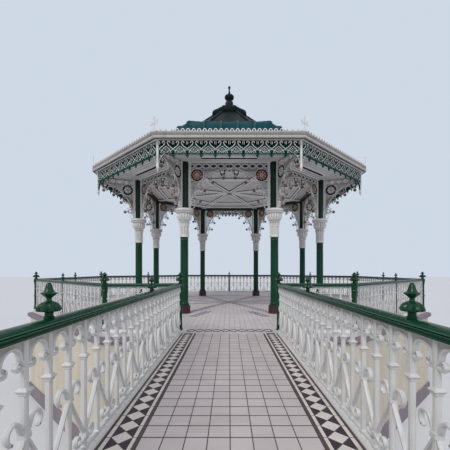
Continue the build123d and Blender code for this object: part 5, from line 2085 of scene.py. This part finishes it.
@dataclass
class Roof:
    """The ogee roof of sheet metal with standing seams, hip rolls, cap and turned finial."""

    gutter: float = 5.96
    seam_shares: tuple = (-0.6, -0.2, 0.2, 0.6)
    hip_radius: float = 0.055
    sweep_foot: float = 2.4
    cap_foot: float = 3.242
    cap_height: float = 0.49
    sheet: Flat = (0.03, 0.02)

    def outline(self) -> list[Flat]:
        """The slope's line as apothem and height over the gutter: skirt, cove, shoulder, brow and sweep.

        Returns:
            The line.
        """
        edge = Eaves.cornice_ring * HALF_COS - 0.19
        dome, brow, neck = 4.18 * HALF_COS, 2.473 * HALF_COS, 0.86 * HALF_COS
        corners = [(edge, 0.0), (dome, 0.33), (dome, 1.28), (brow, 1.966), (neck, self.cap_foot)]
        rounds = [(0.45, 7), (0.2, 7), (2.5, 6)]
        line = [corners[0]]
        for index, (radius, steps) in enumerate(rounds, start=1):
            here = Vector(corners[index])
            back = (Vector(corners[index - 1]) - here).normalized()
            on = (Vector(corners[index + 1]) - here).normalized()
            half = back.angle(on) / 2
            centre = here + (back + on).normalized() * (radius / math.sin(half))
            start = here + back * (radius / math.tan(half)) - centre
            end = here + on * (radius / math.tan(half)) - centre
            for step in range(steps + 1):
                ray = start.lerp(end, step / steps).normalized() * radius
                line.append(tuple(centre + ray))
        return [*line, corners[-1]]

    def build(self) -> None:
        """Makes the roof."""
        up = shift(z=self.gutter)
        line = self.outline()
        back, down = self.sheet
        inner = [(line[0][0] - back, 0.0)]
        inner += [(apothem - back, height - down) for apothem, height in line[1:]]
        loop = [*line, *reversed(inner)]
        points = [(x, y, height) for apothem, height in loop for x, y in octagon(apothem / HALF_COS)]
        sheets = self.darkened(Shape().add(points, skin(len(loop), SIDES, True)), line)
        Piece.show("roof_sheets", sheets.placed(up), [Tone.ROOF, Tone.SWEEP], ["roof"], 20.0)
        self.seams(line, up)
        self.cap(up)

    def darkened(self, shape: Shape, line: list[Flat]) -> Shape:
        """Gives the faces above the brow the second finish, the darker roof metal that paints the shade on
        the upper sweep.

        Args:
            shape: the sheets or the roll.
            line: the slope's line, as apothem and height.

        Returns:
            The same shape.
        """
        brow = min(height for apothem, height in line if apothem < self.sweep_foot)
        starts = np.cumsum(shape.sizes) - shape.sizes
        lowest = np.minimum.reduceat(shape.points[shape.corners, 2], starts)
        shape.tones = (lowest >= brow - 0.03).astype(int)
        return shape

    @staticmethod
    def sheared(rib: Shape, path: list[Flat], share: float) -> Shape:
        """Moves a rib sideways so that it keeps its share of the panel's narrowing width.

        Args:
            rib: the rib, on the middle of its panel.
            path: its line, as apothem and height.
            share: its place across half the panel.

        Returns:
            The rib.
        """
        reach = np.interp(rib.points[:, 2], [height for _, height in path], [apothem for apothem, _ in path])
        rib.points[:, 1] += share * reach * HALF_TAN
        return rib

    def seams(self, line: list[Flat], up: Matrix) -> None:
        """Makes the standing seams of each side and the rolls over the hips.

        Args:
            line: the slope's line.
            up: the move to the gutter's height.
        """
        # The seams take the lighter teal, painted highlight.
        seam = Shape()
        path = [(apothem + 0.022, height + 0.014) for apothem, height in line[:-5]]
        seam += [self.sheared(strap(path, 0.078, 0.074), path, share) for share in self.seam_shares]
        Piece.show("roof_seams", seam.repeated(TURNS).placed(up), [Tone.SEAM])
        hips = [(apothem / HALF_COS, height) for apothem, height in line]
        path = np.array(hips)
        along = np.gradient(path, axis=0)
        along /= np.linalg.norm(along, axis=1)[:, None]
        out = np.stack([along[:, 1], -along[:, 0]], 1)
        points, ring = [], 10
        for index, (radius, height) in enumerate(hips):
            for k in range(ring):
                turn = k * math.tau / ring
                away = self.hip_radius * math.cos(turn)
                rise = max(0.0, height + out[index][1] * away)
                points.append((radius + out[index][0] * away, self.hip_radius * math.sin(turn), rise))
        roll = self.darkened(Shape().add(points, skin(len(hips), ring)), line)
        Piece.show("hip_rolls_round", roll.repeated(around(0.0)).placed(up), [Tone.ROOF, Tone.SWEEP],
            ["hip_rolls"])

    def cap(self, up: Matrix) -> None:
        """Makes the ribbed cap and the finial.

        Args:
            up: the move to the gutter's height.
        """
        profile = mm((860, 0), (895, 12), (895, 40), (878, 52), (885, 90), (880, 150), (862, 205),
            (820, 262), (750, 318), (660, 365), (560, 408), (460, 445), (390, 468), (380, 490))
        body = turned(profile, SIDES, start=HALF_TURN)
        bar = strap([(radius + 0.004, height) for radius, height in profile[2:-1]], 0.045, 0.05)
        body += bar.repeated(around(0.0))
        flat = [(radius * HALF_COS + 0.003, height) for radius, height in profile[3:-1]]
        for share in (-0.34, 0.34):
            rib = self.sheared(strap(flat, 0.022, 0.026), flat, share)
            body += rib.repeated(TURNS)
        body = body.placed(up @ shift(z=self.cap_foot))
        # The cap takes the near-black roof metal, painted shade.
        Piece.show("roof_cap_ribbed", body, [Tone.SWEEP], ["roof_cap"], 24.0)
        turning = mm((200, 0), (206, 20), (196, 35), (200, 60), (204, 280), (196, 320), (175, 358),
            (140, 388), (104, 408), (96, 425), (98, 440), (112, 455), (150, 472), (205, 505), (232, 550),
            (238, 600), (226, 645), (190, 685), (135, 715), (90, 732), (84, 745), (70, 752), (60, 790),
            (42, 880), (30, 960), (28, 990), (40, 1002), (30, 1016), (46, 1040), (62, 1075), (63, 1100),
            (52, 1130), (28, 1152), (10, 1178))
        finial = turned(turning, 40).placed(up @ shift(z=self.cap_foot + self.cap_height))
        Piece.show("roof_finial_turned", finial, [Tone.BRONZE], ["roof_finial"])


@dataclass
class Studio:
    """The pale floor and backdrop, the lamps and the camera at the photograph's viewpoint."""

    eye: Colour = (-0.01, -15.84, 4.895)
    focal_pixels: float = 315.0
    frame_pixels: float = 450.0
    shift_pixels: Flat = (-4.1, 45.4)
    sensor: float = 36.0

    def camera(self) -> None:
        """Sets up the camera."""
        data = bpy.data.cameras.new("camera")
        data.sensor_width = self.sensor
        data.lens = self.sensor * self.focal_pixels / self.frame_pixels
        data.shift_x = self.shift_pixels[0] / self.frame_pixels
        data.shift_y = self.shift_pixels[1] / self.frame_pixels
        data.clip_start, data.clip_end = 0.05, 500.0
        made = bpy.data.objects.new("camera", data)
        made.location = self.eye
        made.rotation_euler = (math.pi / 2, 0.0, 0.0)
        bpy.context.scene.collection.objects.link(made)
        bpy.context.scene.camera = made

    def lamp(self, name: str, strength: float, soft: float, tilt: float, turn: float,
            colour: Colour) -> None:
        """Adds a distant lamp.

        Args:
            name: its name.
            strength: its strength.
            soft: its width in degrees.
            tilt: its angle from overhead in degrees.
            turn: its direction in degrees, 0 from the camera's side.
            colour: its colour.
        """
        data = bpy.data.lights.new(name, "SUN")
        data.energy, data.angle, data.color = strength, math.radians(soft), colour
        made = bpy.data.objects.new(name, data)
        made.rotation_euler = (math.radians(tilt), 0.0, math.radians(turn))
        bpy.context.scene.collection.objects.link(made)

    def world(self) -> None:
        """A plain pale surround that lights gently."""
        world = bpy.data.worlds.new("surround")
        world.use_nodes = True
        tree = world.node_tree
        back = tree.nodes["Background"]
        seen = tree.nodes.new("ShaderNodeBackground")
        seen.inputs[0].default_value, seen.inputs[1].default_value = (0.62, 0.69, 0.79, 1.0), 1.0
        back.inputs[0].default_value, back.inputs[1].default_value = (0.86, 0.9, 1.0, 1.0), 0.62
        path = tree.nodes.new("ShaderNodeLightPath")
        most = tree.nodes.new("ShaderNodeMath")
        most.operation = "MAXIMUM"
        tree.links.new(path.outputs["Is Camera Ray"], most.inputs[0])
        tree.links.new(path.outputs["Is Transmission Ray"], most.inputs[1])
        pick = tree.nodes.new("ShaderNodeMixShader")
        tree.links.new(most.outputs[0], pick.inputs[0])
        tree.links.new(back.outputs[0], pick.inputs[1])
        tree.links.new(seen.outputs[0], pick.inputs[2])
        tree.links.new(pick.outputs[0], tree.nodes["World Output"].inputs["Surface"])
        bpy.context.scene.world = world

    def floor(self) -> None:
        """A wide pale floor at ground level."""
        mesh = bpy.data.meshes.new("studio_floor")
        reach = 220.0
        mesh.from_pydata([(-reach, -reach, 0), (reach, -reach, 0), (reach, reach, 0), (-reach, reach, 0)],
            [], [(0, 1, 2, 3)])
        graph = Graph("studio_floor")
        cloud = graph.noise(graph.place(), 0.4, 4)
        graph.wire("Base Color", graph.mix(cloud * 0.4, (0.66, 0.67, 0.69), (0.58, 0.59, 0.61)))
        graph.wire("Roughness", 0.95)
        mesh.materials.append(graph.material)
        made = bpy.data.objects.new("studio_floor", mesh)
        bpy.context.scene.collection.objects.link(made)

    def build(self) -> None:
        """Sets the stage."""
        self.camera()
        self.world()
        self.floor()
        self.lamp("key", strength=1.5, soft=25.0, tilt=48.0, turn=-32.0, colour=(1.0, 0.97, 0.93))
        self.lamp("fill", strength=0.5, soft=60.0, tilt=60.0, turn=55.0, colour=(0.92, 0.95, 1.0))
        bpy.context.scene.view_settings.view_transform = "Standard"


def main() -> None:
    """Builds every sub-assembly in order."""
    logging.basicConfig(level=logging.INFO, format="%(name)s: %(message)s")
    for assembly in (Studio(), Podium(), Bridge(), Railings(), Columns(), Castings(), Eaves(), Ceiling(),
            Roof()):
        log.info("building %s", type(assembly).__name__)
        assembly.build()


if __name__ == "__main__":
    main()
